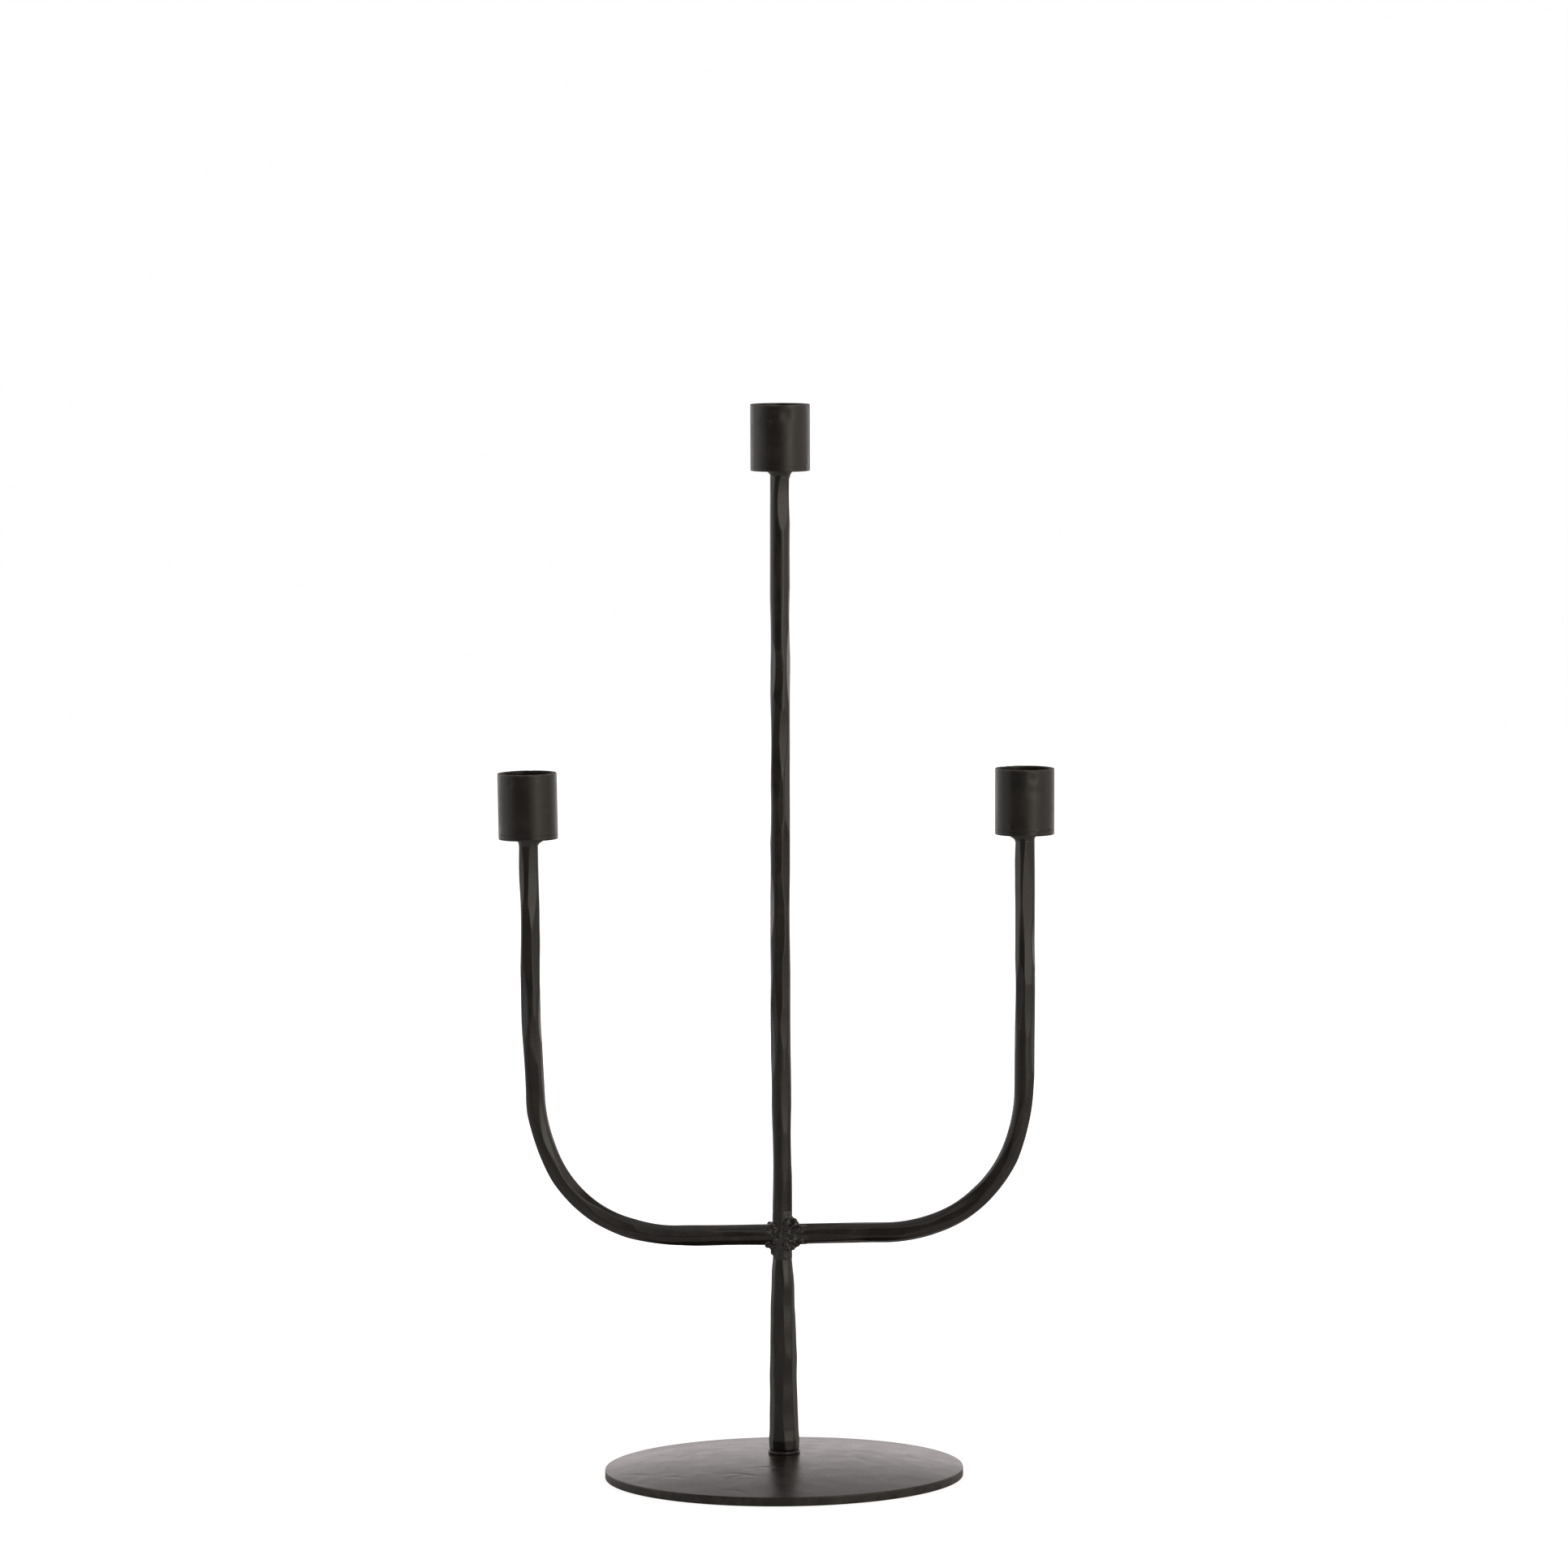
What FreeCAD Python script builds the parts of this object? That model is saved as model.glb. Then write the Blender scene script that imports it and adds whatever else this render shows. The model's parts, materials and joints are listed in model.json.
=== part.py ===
"""Forged tabletop candelabra in millimetres, +Z up, origin under the middle of its base.

A dished round plate carries a tapered post. A leaning stem and two swept arms are welded
to the top of the post, and each of them ends in a short cup for a dinner candle.
"""
import FreeCAD
import Part

import math
import os

# Overall sizes
ARM_REACH = 108.5          # half the distance between the tips of the arms
ARM_OFFSET = 0.8           # how far the pair of arms sits to the left of the middle
TOP_RIM_HEIGHT = 471.5     # table to the rim of the middle cup
SIDE_RIM_HEIGHT = 311.5    # table to the rims of the side cups
CROSS_HEIGHT = 107.0       # table to the axis of the level part of the arms

# Dished base plate
BASE_RADIUS = 79.0
BASE_THICKNESS = 4.0
BASE_RISE = 6.0            # how far the middle stands above the rim
RIM_LAND = 3.0             # width of the flat ring ground under the rim
SEAT_RADIUS = 9.0          # flat seat in the middle, above and below
EDGE_CHAMFER = 0.4

# Fastening of the post
SCREW_DIAMETER = 6.0
SCREW_LENGTH = 20.0
SCREW_HEAD_DIAMETER = 10.5
SCREW_HEAD_HEIGHT = 3.3
SOCKET_FLATS = 4.0
SOCKET_DEPTH = 2.0
WASHER_DIAMETER = 12.0
WASHER_THICKNESS = 1.6
COLLAR_DIAMETER = 13.8
COLLAR_THICKNESS = 1.5
CLEARANCE_ALLOWANCE = 0.2  # radial room round the screw where it passes through
THREAD_ALLOWANCE = 0.05    # radial room round the screw in the tapped hole
TAP_RUNOUT = 3.0           # tapped hole beyond the end of the screw

# Forged bars, measured across the flats
POST_FLATS = 12.0
POST_TAPER = (             # share of the post's height, share of its nominal width
    (0.00, 1.02),
    (0.05, 1.05),
    (0.10, 1.00),
    (0.30, 0.96),
    (0.50, 0.94),
    (0.70, 0.83),
    (0.82, 0.79),
    (0.93, 0.65),
    (1.00, 0.65),
)
STEM_FLATS = 8.0
STEM_LEAN = 0.4            # degrees, towards +X
ARM_FLATS = 8.3
ARM_LEAN = 0.5             # degrees that each upright leans outwards
BEND_RADIUS = 62.5         # centre line of the bends
ARM_TRIM = 0.1             # extra length that is trimmed to the leaning flank of the stem
BAR_SIDES = 8

# Candle cups
CUP_DIAMETER = 26.0
CUP_WALL = 1.5
CUP_HEIGHT = 29.0
CUP_FLOOR = 2.0
CUP_CHAMFER = 0.5          # round the foot of each cup
TUBE_DEBURR = 0.2          # chamfer on the cut edges of each tube

# Weld beads
CROSS_WELD_LENGTH = 8.0    # along each arm, from the middle of the stem
CROSS_WELD_HEIGHT = 8.6    # half height at the stem
CROSS_WELD_WIDTH = 5.2     # half width at the stem
CUP_WELD_RADIUS = 6.3
CUP_WELD_HEIGHT = 3.4
WELD_LIP = 0.15            # how far a bead's thin edge stands proud of the bar

# Worked out from the sizes above
ACROSS_CORNERS = 1.0 / math.cos(math.pi / BAR_SIDES)
CLEARANCE_RADIUS = SCREW_DIAMETER / 2 + CLEARANCE_ALLOWANCE
TAPPED_RADIUS = SCREW_DIAMETER / 2 + THREAD_ALLOWANCE
SEAT_HEIGHT = BASE_THICKNESS + BASE_RISE
POST_FOOT = SEAT_HEIGHT + COLLAR_THICKNESS
POST_TOP = CROSS_HEIGHT - ARM_FLATS / 2
HEAD_TOP = BASE_RISE - WASHER_THICKNESS
SCREW_TIP = HEAD_TOP + SCREW_LENGTH
STEM_TIP = TOP_RIM_HEIGHT - CUP_HEIGHT * math.cos(math.radians(STEM_LEAN))
ARM_TIP = SIDE_RIM_HEIGHT - CUP_HEIGHT * math.cos(math.radians(ARM_LEAN))

ORIGIN = FreeCAD.Vector(0, 0, 0)
UP = FreeCAD.Vector(0, 0, 1)
ALONG_X = FreeCAD.Vector(1, 0, 0)
ALONG_Y = FreeCAD.Vector(0, 1, 0)


def point(x, y, z):
    return FreeCAD.Vector(x, y, z)


def direction(lean):
    """Unit vector that leans from straight up towards +X by so many degrees."""
    angle = math.radians(lean)
    return point(math.sin(angle), 0, math.cos(angle))


def polygon(sides, flats, height=0.0):
    """Closed level polygon round the Z axis, with a flat side facing +X."""
    radius = flats / 2 / math.cos(math.pi / sides)
    corners = []
    for k in range(sides + 1):
        angle = math.pi * (2 * k + 1) / sides
        corners.append(point(radius * math.cos(angle), radius * math.sin(angle), height))
    return Part.makePolygon(corners)


def straight_bar(flats, start, axis, length):
    """Forged bar of constant section from a point along an axis."""
    bar = Part.Face(polygon(BAR_SIDES, flats)).extrude(UP * length)
    turn = FreeCAD.Rotation(UP, axis)
    bar.Placement = FreeCAD.Placement(start, turn)
    return bar


def turned(profile):
    """Solid of revolution about the Z axis from an open list of (radius, height) points."""
    wire = Part.makePolygon([point(r, 0, z) for r, z in profile + profile[:1]])
    return Part.Face(wire).revolve(ORIGIN, UP, 360)


def on_tip(shape, tip, lean):
    """Stands a shape that was built on the origin squarely on the tip of a leaning bar."""
    placed = shape.copy()
    placed.Placement = FreeCAD.Placement(tip, FreeCAD.Rotation(UP, direction(lean)))
    return placed


def mirrored(shape):
    return shape.mirror(ORIGIN, ALONG_X)


def base_plate():
    """Dished plate: spherical above and below, with flat seats and a flat ring to stand on."""
    rim = BASE_RADIUS
    land = BASE_RADIUS - RIM_LAND

    def dish(outer, low, high):
        middle = (SEAT_RADIUS + outer) / 2
        # Halfway out, a parabola that starts level has dropped by a quarter.
        return Part.Arc(
            point(SEAT_RADIUS, 0, high),
            point(middle, 0, high - (high - low) / 4),
            point(outer, 0, low),
        ).toShape()

    top_rim = rim - EDGE_CHAMFER
    edges = [
        Part.makeLine(point(0, 0, SEAT_HEIGHT), point(SEAT_RADIUS, 0, SEAT_HEIGHT)),
        dish(top_rim, BASE_THICKNESS, SEAT_HEIGHT),
        Part.makeLine(point(top_rim, 0, BASE_THICKNESS), point(rim, 0, BASE_THICKNESS - EDGE_CHAMFER)),
        Part.makeLine(point(rim, 0, BASE_THICKNESS - EDGE_CHAMFER), point(rim, 0, 0)),
        Part.makeLine(point(rim, 0, 0), point(land, 0, 0)),
        dish(land, 0, BASE_RISE),
        Part.makeLine(point(SEAT_RADIUS, 0, BASE_RISE), point(0, 0, BASE_RISE)),
        Part.makeLine(point(0, 0, BASE_RISE), point(0, 0, SEAT_HEIGHT)),
    ]
    plate = Part.Face(Part.Wire(Part.__sortEdges__(edges))).revolve(ORIGIN, UP, 360)
    return plate.cut(Part.makeCylinder(CLEARANCE_RADIUS, SEAT_HEIGHT))


def ring(outer_radius, inner_radius, height, foot):
    """Flat ring that stands at a height."""
    place = point(0, 0, foot)
    outer = Part.makeCylinder(outer_radius, height, place)
    return outer.cut(Part.makeCylinder(inner_radius, height, place))


def base_screw():
    """Button-head screw that comes up through the base from below."""
    shank = Part.makeCylinder(SCREW_DIAMETER / 2, SCREW_LENGTH, point(0, 0, HEAD_TOP))
    crown_radius = SCREW_HEAD_DIAMETER / 4
    rim_height = SCREW_HEAD_HEIGHT / 4
    shoulder = (SCREW_HEAD_DIAMETER / 2 * 0.82, HEAD_TOP - SCREW_HEAD_HEIGHT * 0.7)
    head = turned([
        (0, HEAD_TOP),
        (SCREW_HEAD_DIAMETER / 2, HEAD_TOP),
        (SCREW_HEAD_DIAMETER / 2, HEAD_TOP - rim_height),
        shoulder,
        (crown_radius, HEAD_TOP - SCREW_HEAD_HEIGHT),
        (0, HEAD_TOP - SCREW_HEAD_HEIGHT),
    ])
    socket = Part.Face(polygon(6, SOCKET_FLATS, HEAD_TOP - SCREW_HEAD_HEIGHT))
    socket = socket.extrude(UP * SOCKET_DEPTH)
    return shank.fuse(head).removeSplitter().cut(socket)


def lower_post():
    """Tapered post, drawn down to a neck under the arms and tapped from below."""
    height = POST_TOP - POST_FOOT
    sections = []
    for share, width in POST_TAPER:
        sections.append(polygon(BAR_SIDES, POST_FLATS * width, POST_FOOT + share * height))
    post = Part.makeLoft(sections, True, True)
    depth = SCREW_TIP + TAP_RUNOUT - POST_FOOT
    return post.cut(Part.makeCylinder(TAPPED_RADIUS, depth, point(0, 0, POST_FOOT)))


def stem_tip():
    run = STEM_TIP - POST_TOP
    return point(run * math.tan(math.radians(STEM_LEAN)), 0, STEM_TIP)


def upper_stem():
    """Straight bar that leans a little and stands on the neck of the post."""
    axis = direction(STEM_LEAN)
    start = point(0, 0, POST_TOP) - axis * STEM_FLATS
    length = (stem_tip() - start).Length
    below = Part.makeBox(
        4 * STEM_FLATS,
        4 * STEM_FLATS,
        4 * STEM_FLATS,
        point(-2 * STEM_FLATS, -2 * STEM_FLATS, POST_TOP - 4 * STEM_FLATS),
    )
    return straight_bar(STEM_FLATS, start, axis, length).cut(below)


def arm_tip(reach):
    return point(reach, 0, ARM_TIP)


def swept_arm(reach):
    """Level bar that runs out to the right, turns up through a bend and rises to its tip."""
    axis = direction(ARM_LEAN)
    lean = math.radians(ARM_LEAN)
    centre_height = CROSS_HEIGHT + BEND_RADIUS
    upright_foot_height = centre_height - BEND_RADIUS * math.sin(lean)
    upright = (ARM_TIP - upright_foot_height) / math.cos(lean)
    foot = arm_tip(reach) - axis * upright
    level = foot.x - BEND_RADIUS * math.cos(lean)
    root = STEM_FLATS / 2 - ARM_TRIM
    run = straight_bar(ARM_FLATS, point(root, 0, CROSS_HEIGHT), ALONG_X, level - root)
    face = Part.Face(polygon(BAR_SIDES, ARM_FLATS))
    face.Placement = FreeCAD.Placement(point(level, 0, CROSS_HEIGHT), FreeCAD.Rotation(UP, ALONG_X))
    bend = face.revolve(point(level, 0, centre_height), ALONG_Y * -1, 90 - ARM_LEAN)
    leg = straight_bar(ARM_FLATS, foot, axis, upright)
    return run.fuse([bend, leg]).removeSplitter()


def cross_weld():
    """Half of the built-up weld round the joint: it thins out along the right arm."""
    edge = ARM_FLATS / 2 * ACROSS_CORNERS + WELD_LIP
    flank = STEM_FLATS / 2
    middle = (flank + CROSS_WELD_LENGTH) / 2
    sections = (
        (0, CROSS_WELD_HEIGHT, CROSS_WELD_WIDTH),
        (flank, CROSS_WELD_HEIGHT, CROSS_WELD_WIDTH),
        (middle, (CROSS_WELD_HEIGHT + 2 * edge) / 3, (CROSS_WELD_WIDTH + 2 * edge) / 3),
        (CROSS_WELD_LENGTH, edge + WELD_LIP, edge),
    )
    upright = FreeCAD.Rotation(ALONG_Y, -90)
    wires = []
    for x, half_height, half_width in sections:
        ellipse = Part.Ellipse(ORIGIN, half_height, half_width).toShape()
        ellipse.Placement = FreeCAD.Placement(point(x, 0, CROSS_HEIGHT), upright)
        wires.append(Part.Wire(ellipse))
    return Part.makeLoft(wires, True, True)


def cup_tube():
    """Tube with deburred ends that takes the candle and stands on the floor disc."""
    outer, inner = CUP_DIAMETER / 2, CUP_DIAMETER / 2 - CUP_WALL
    return turned([
        (outer, CUP_FLOOR),
        (outer, CUP_HEIGHT - TUBE_DEBURR),
        (outer - TUBE_DEBURR, CUP_HEIGHT),
        (inner + TUBE_DEBURR, CUP_HEIGHT),
        (inner, CUP_HEIGHT - TUBE_DEBURR),
        (inner, CUP_FLOOR + TUBE_DEBURR),
        (inner + TUBE_DEBURR, CUP_FLOOR),
    ])


def cup_floor():
    """Disc that closes the foot of the tube, with a chamfer round its lower edge."""
    radius = CUP_DIAMETER / 2
    return turned([
        (0, 0),
        (radius - CUP_CHAMFER, 0),
        (radius, CUP_CHAMFER),
        (radius, CUP_FLOOR),
        (0, CUP_FLOOR),
    ])


def cup_weld(flats):
    """Fillet of weld between the bar and the underside of its cup."""
    edge = flats / 2 * ACROSS_CORNERS + WELD_LIP
    waist = (edge + (CUP_WELD_RADIUS - edge) * 0.25, -CUP_WELD_HEIGHT * 0.45)
    return turned([
        (0, 0),
        (CUP_WELD_RADIUS, 0),
        (CUP_WELD_RADIUS, -WELD_LIP),
        waist,
        (edge, -CUP_WELD_HEIGHT),
        (0, -CUP_WELD_HEIGHT),
    ])


def build():
    """All pieces by name, each in its place."""
    post = lower_post()
    stem = upper_stem()
    left_tip = arm_tip(ARM_REACH + ARM_OFFSET)
    right_tip = arm_tip(ARM_REACH - ARM_OFFSET)
    left = mirrored(swept_arm(left_tip.x)).cut(stem)
    right = swept_arm(right_tip.x).cut(stem)
    bead = cross_weld()
    pieces = {
        "base_plate": base_plate(),
        "base_washer": ring(WASHER_DIAMETER / 2, CLEARANCE_RADIUS, WASHER_THICKNESS, HEAD_TOP),
        "base_screw": base_screw(),
        "foot_collar": ring(COLLAR_DIAMETER / 2, CLEARANCE_RADIUS, COLLAR_THICKNESS, SEAT_HEIGHT),
        "lower_post": post,
        "upper_stem": stem,
        "arm_left": left,
        "arm_right": right,
        "cross_weld_left": mirrored(bead).cut([left, stem, post]),
        "cross_weld_right": bead.cut([right, stem, post]),
    }
    left_tip.x = -left_tip.x
    holders = (
        ("left", left, ARM_FLATS, left_tip, -ARM_LEAN),
        ("middle", stem, STEM_FLATS, stem_tip(), STEM_LEAN),
        ("right", right, ARM_FLATS, right_tip, ARM_LEAN),
    )
    for side, bar, flats, tip, lean in holders:
        pieces["cup_tube_" + side] = on_tip(cup_tube(), tip, lean)
        pieces["cup_floor_" + side] = on_tip(cup_floor(), tip, lean)
        pieces["cup_weld_" + side] = on_tip(cup_weld(flats), tip, lean).cut(bar)
    return pieces


os.makedirs("parts", exist_ok=True)
for name, shape in build().items():
    shape.exportStep("parts/" + name + ".step")
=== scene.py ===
"""Looks for a forged tabletop candelabra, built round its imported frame.

Every shown piece is a surface worked out as whole arrays from the sizes below: hammered bars,
a dished plate, candle cups and lumps of weld. Lengths are in metres, +Z up, +X to the right arm.
"""

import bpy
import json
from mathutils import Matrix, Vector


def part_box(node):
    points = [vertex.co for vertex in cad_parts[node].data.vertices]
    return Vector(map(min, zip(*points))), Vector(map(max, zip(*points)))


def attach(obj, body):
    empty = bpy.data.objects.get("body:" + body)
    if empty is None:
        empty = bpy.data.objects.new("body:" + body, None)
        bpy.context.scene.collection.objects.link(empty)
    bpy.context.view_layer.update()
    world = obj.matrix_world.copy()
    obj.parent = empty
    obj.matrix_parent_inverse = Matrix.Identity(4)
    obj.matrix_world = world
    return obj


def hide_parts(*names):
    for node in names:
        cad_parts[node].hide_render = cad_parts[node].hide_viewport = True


bl_info = {
    "name": "Forged Candelabra",
    "version": (1, 0, 0),
    "blender": (4, 5, 0),
    "location": "3D View > Sidebar > Candelabra",
    "description": "Hammered bars, dished base, candle cups and a plain studio",
    "category": "Add Mesh",
}

import json
import math

import bpy
import numpy as np
from bpy.props import FloatProperty, FloatVectorProperty, IntProperty, PointerProperty
from mathutils import Matrix, Vector

MM = 0.001
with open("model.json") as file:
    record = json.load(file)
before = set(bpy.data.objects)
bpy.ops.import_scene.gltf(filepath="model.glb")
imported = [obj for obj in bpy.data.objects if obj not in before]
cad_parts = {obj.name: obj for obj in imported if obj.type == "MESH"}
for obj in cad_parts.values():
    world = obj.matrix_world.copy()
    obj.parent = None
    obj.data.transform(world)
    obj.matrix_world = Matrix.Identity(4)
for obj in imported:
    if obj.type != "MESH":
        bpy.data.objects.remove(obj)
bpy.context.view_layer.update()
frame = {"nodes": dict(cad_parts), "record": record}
MOUNTS = {mount["name"]: mount for mount in frame["record"]["mounts"]}
SIDES = ("left", "middle", "right")
UP = np.array((0.0, 0.0, 1.0))
BACK = np.array((0.0, 1.0, 0.0))


# ---------------------------------------------------------------- sizes and colours


class CandelabraBars(bpy.types.PropertyGroup):
    width: FloatProperty(
        name="Bar width",
        description="Mean width of the stem and of the uprights of the arms",
        default=8.3 * MM,
        unit="LENGTH",
    )
    level_width: FloatProperty(
        name="Width of the level arms",
        description="Mean width of the arms between the stem and the bends",
        default=8.7 * MM,
        unit="LENGTH",
    )
    bend_radius: FloatProperty(
        name="Bend radius",
        description="Radius of the centre line where an arm turns up",
        default=62.5 * MM,
        unit="LENGTH",
    )
    facet_rows: IntProperty(
        name="Facet rows",
        description="Rows of hammer blows round a bar",
        default=8,
        min=4,
        max=12,
    )
    blow_spacing: FloatProperty(
        name="Blow spacing",
        description="Mean distance between two blows of one row",
        default=27.0 * MM,
        unit="LENGTH",
    )
    blow_depth: FloatProperty(
        name="Blow depth",
        description="How much deeper the hardest blows are than the softest",
        default=0.78 * MM,
        unit="LENGTH",
    )
    crown: FloatProperty(
        name="Blow crown",
        description="How far the skin rises from the middle of a blow to its ends",
        default=0.36 * MM,
        unit="LENGTH",
    )
    wander: FloatProperty(
        name="Wander",
        description="How far a bar strays from a true line",
        default=0.12 * MM,
        unit="LENGTH",
    )
    bow: FloatProperty(
        name="Stem bow",
        description="How far the middle of the stem lies to the left of a straight line",
        default=0.5 * MM,
        unit="LENGTH",
    )


class CandelabraCups(bpy.types.PropertyGroup):
    wall: FloatProperty(
        name="Wall",
        description="Thickness of the tube",
        default=1.5 * MM,
        unit="LENGTH",
    )
    floor: FloatProperty(
        name="Floor",
        description="Thickness of the disc that closes the tube",
        default=2.0 * MM,
        unit="LENGTH",
    )
    deburr: FloatProperty(
        name="Deburred edge",
        description="Height of the edge at each end of the tube that the stated bore leaves out",
        default=0.2 * MM,
        unit="LENGTH",
    )
    lip: FloatProperty(
        name="Lip",
        description="Rounding of the rim",
        default=0.4 * MM,
        unit="LENGTH",
    )
    foot_rounding: FloatProperty(
        name="Foot rounding",
        description="Rounding of the lower edge",
        default=0.45 * MM,
        unit="LENGTH",
    )
    dent_depth: FloatProperty(
        name="Dent depth",
        description="Depth of the deepest dents in the tube",
        default=0.22 * MM,
        unit="LENGTH",
    )
    weld_radius: FloatProperty(
        name="Weld radius",
        description="Radius of the weld where it meets the underside of the cup",
        default=5.7 * MM,
        unit="LENGTH",
    )
    weld_height: FloatProperty(
        name="Weld height",
        description="How far the weld runs down the bar",
        default=3.2 * MM,
        unit="LENGTH",
    )


class CandelabraBase(bpy.types.PropertyGroup):
    thickness: FloatProperty(
        name="Thickness",
        description="Thickness of the dished plate",
        default=4.0 * MM,
        unit="LENGTH",
    )
    seat_radius: FloatProperty(
        name="Seat radius",
        description="Radius of the flat seat in the middle",
        default=9.0 * MM,
        unit="LENGTH",
    )
    hole_radius: FloatProperty(
        name="Hole radius",
        description="Radius of the hole that the screw passes through",
        default=3.2 * MM,
        unit="LENGTH",
    )
    edge: FloatProperty(
        name="Edge rounding",
        description="Rounding of the rim, above and below",
        default=0.5 * MM,
        unit="LENGTH",
    )
    land: FloatProperty(
        name="Land",
        description="Width of the flat ring that the plate stands on",
        default=3.0 * MM,
        unit="LENGTH",
    )
    dent_spacing: FloatProperty(
        name="Dent spacing",
        description="Mean distance between two hammer blows on the plate",
        default=13.0 * MM,
        unit="LENGTH",
    )
    hammer_radius: FloatProperty(
        name="Hammer crown",
        description="Radius of the hammer's rounded face",
        default=330.0 * MM,
        unit="LENGTH",
    )
    dent_depth: FloatProperty(
        name="Dent depth",
        description="How much deeper the hardest blows on the plate are than the softest",
        default=0.05 * MM,
        unit="LENGTH",
    )


class CandelabraFinish(bpy.types.PropertyGroup):
    iron: FloatVectorProperty(
        name="Iron",
        description="Colour of the blackened bars, cups and base",
        default=(0.013, 0.0098, 0.0074),
        subtype="COLOR",
        min=0.0,
        max=1.0,
    )
    rubbed: FloatVectorProperty(
        name="Rubbed iron",
        description="Colour of the ridges and edges that handling has rubbed",
        default=(0.12, 0.105, 0.088),
        subtype="COLOR",
        min=0.0,
        max=1.0,
    )
    weld: FloatVectorProperty(
        name="Weld",
        description="Colour of the blackened weld",
        default=(0.017, 0.0145, 0.012),
        subtype="COLOR",
        min=0.0,
        max=1.0,
    )
    zinc: FloatVectorProperty(
        name="Zinc",
        description="Colour of the plated screw and washer",
        default=(0.42, 0.42, 0.41),
        subtype="COLOR",
        min=0.0,
        max=1.0,
    )
    sheen: FloatProperty(
        name="Roughness",
        description="Roughness of the satin black",
        default=0.34,
        subtype="FACTOR",
        min=0.0,
        max=1.0,
    )


class CandelabraStudio(bpy.types.PropertyGroup):
    distance: FloatProperty(
        name="Camera distance",
        description="From the camera to the plane of the arms",
        default=3.6,
        unit="LENGTH",
    )
    height: FloatProperty(
        name="Camera height",
        description="Height of the camera above the table",
        default=0.6211,
        unit="LENGTH",
    )
    aside: FloatProperty(
        name="Camera offset",
        description="How far the camera stands to the right of the post",
        default=2.7 * MM,
        unit="LENGTH",
    )
    tilt: FloatProperty(
        name="Tilt",
        description="How far the camera looks down",
        default=math.radians(5.01),
        subtype="ANGLE",
    )
    roll: FloatProperty(
        name="Roll",
        description="How far the camera is turned clockwise about its own axis",
        default=math.radians(0.56),
        subtype="ANGLE",
    )
    lens: FloatProperty(
        name="Lens",
        description="Focal length in millimetres",
        default=189.9,
    )
    brightness: FloatProperty(
        name="Brightness",
        description="Radiance of the white wall behind the object",
        default=1.0,
        min=0.0,
    )


# ---------------------------------------------------------------- surfaces


def skin(name, grid, poles=None):
    """Closed mesh over a grid of points.

    Rows run along the surface and columns run round it, turning with the right hand about the
    direction of the rows. Without poles the last row joins the first; with a pair of poles each
    end row closes on its own middle point.
    """
    rows, columns, _ = grid.shape
    index = np.arange(rows * columns).reshape(rows, columns)
    across = np.roll(index, -1, axis=1)
    if poles is None:
        ahead, ahead_across = np.roll(index, -1, axis=0), np.roll(across, -1, axis=0)
        quads = np.stack((index, across, ahead_across, ahead), axis=-1).reshape(-1, 4)
        triangles = np.empty((0, 3), int)
        points = grid.reshape(-1, 3)
    else:
        quads = np.stack((index[:-1], across[:-1], across[1:], index[1:]), axis=-1).reshape(-1, 4)
        first, last = np.full(columns, rows * columns), np.full(columns, rows * columns + 1)
        start = np.stack((across[0], index[0], first), axis=-1)
        end = np.stack((index[-1], across[-1], last), axis=-1)
        triangles = np.concatenate((start, end))
        points = np.concatenate((grid.reshape(-1, 3), np.asarray(poles, float)))
    corners = np.concatenate((quads.ravel(), triangles.ravel())).astype(np.int32)
    starts = np.concatenate((
        4 * np.arange(len(quads)),
        4 * len(quads) + 3 * np.arange(len(triangles)),
    )).astype(np.int32)
    mesh = bpy.data.meshes.new(name)
    mesh.vertices.add(len(points))
    mesh.vertices.foreach_set("co", points.astype(np.float32).ravel())
    mesh.loops.add(len(corners))
    mesh.loops.foreach_set("vertex_index", corners)
    mesh.polygons.add(len(starts))
    mesh.polygons.foreach_set("loop_start", starts)
    mesh.update(calc_edges=True)
    mesh.validate()
    mesh.shade_smooth()
    return mesh


def add_mask(mesh, name, values):
    """Stores one number from 0 to 1 for each point, such as how much a ridge is rubbed."""
    padded = np.zeros(len(mesh.vertices), np.float32)
    padded[: values.size] = np.clip(values, 0, 1).ravel()
    mesh.attributes.new(name, "FLOAT", "POINT").data.foreach_set("value", padded)


def place(name, mesh, material, nodes):
    """Shows a mesh in place of the frame's own nodes."""
    piece = bpy.data.objects.new(name, mesh)
    bpy.context.scene.collection.objects.link(piece)
    mesh.materials.append(material)
    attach(piece, "root")
    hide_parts(*nodes)


def ring_angles(columns):
    """Evenly spaced angles round a full turn, without the last one."""
    return np.linspace(0, 2 * np.pi, columns, endpoint=False)


def revolve(profile, columns, centre, axis):
    """Carries a profile of (radius, height) round an axis.

    A point is the centre, plus its height along the axis, plus its radius in the direction that
    the angle gives. Round an upright axis, angle zero faces the right and a quarter turn the back.
    """
    side = np.cross(BACK, axis)
    side = side / np.linalg.norm(side)
    behind = np.cross(axis, side)
    angle = ring_angles(columns)
    outward = np.cos(angle)[:, None] * side + np.sin(angle)[:, None] * behind
    radius, height = profile[..., 0], profile[..., 1]
    if radius.ndim == 1:
        radius, height = radius[:, None], height[:, None]
    return centre + height[..., None] * axis + radius[..., None] * outward[None]


def rounded(corner, before, after, radius, steps=6):
    """Quarter-like arc that rounds one corner of a profile.

    It is the parabola from a point before the corner to a point after it, with the corner as
    its control point.
    """
    corner, before, after = (np.asarray(p, float) for p in (corner, before, after))
    start = corner + radius * (before - corner) / np.linalg.norm(before - corner)
    end = corner + radius * (after - corner) / np.linalg.norm(after - corner)
    t = np.linspace(0, 1, steps)[:, None]
    return (1 - t) ** 2 * start + 2 * t * (1 - t) * corner + t**2 * end


def stretch(start, end, count):
    """Evenly spaced points of a straight part of a profile, without its two ends."""
    t = np.linspace(0, 1, count + 2)[1:-1, None]
    return (1 - t) * np.asarray(start, float) + t * np.asarray(end, float)


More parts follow.
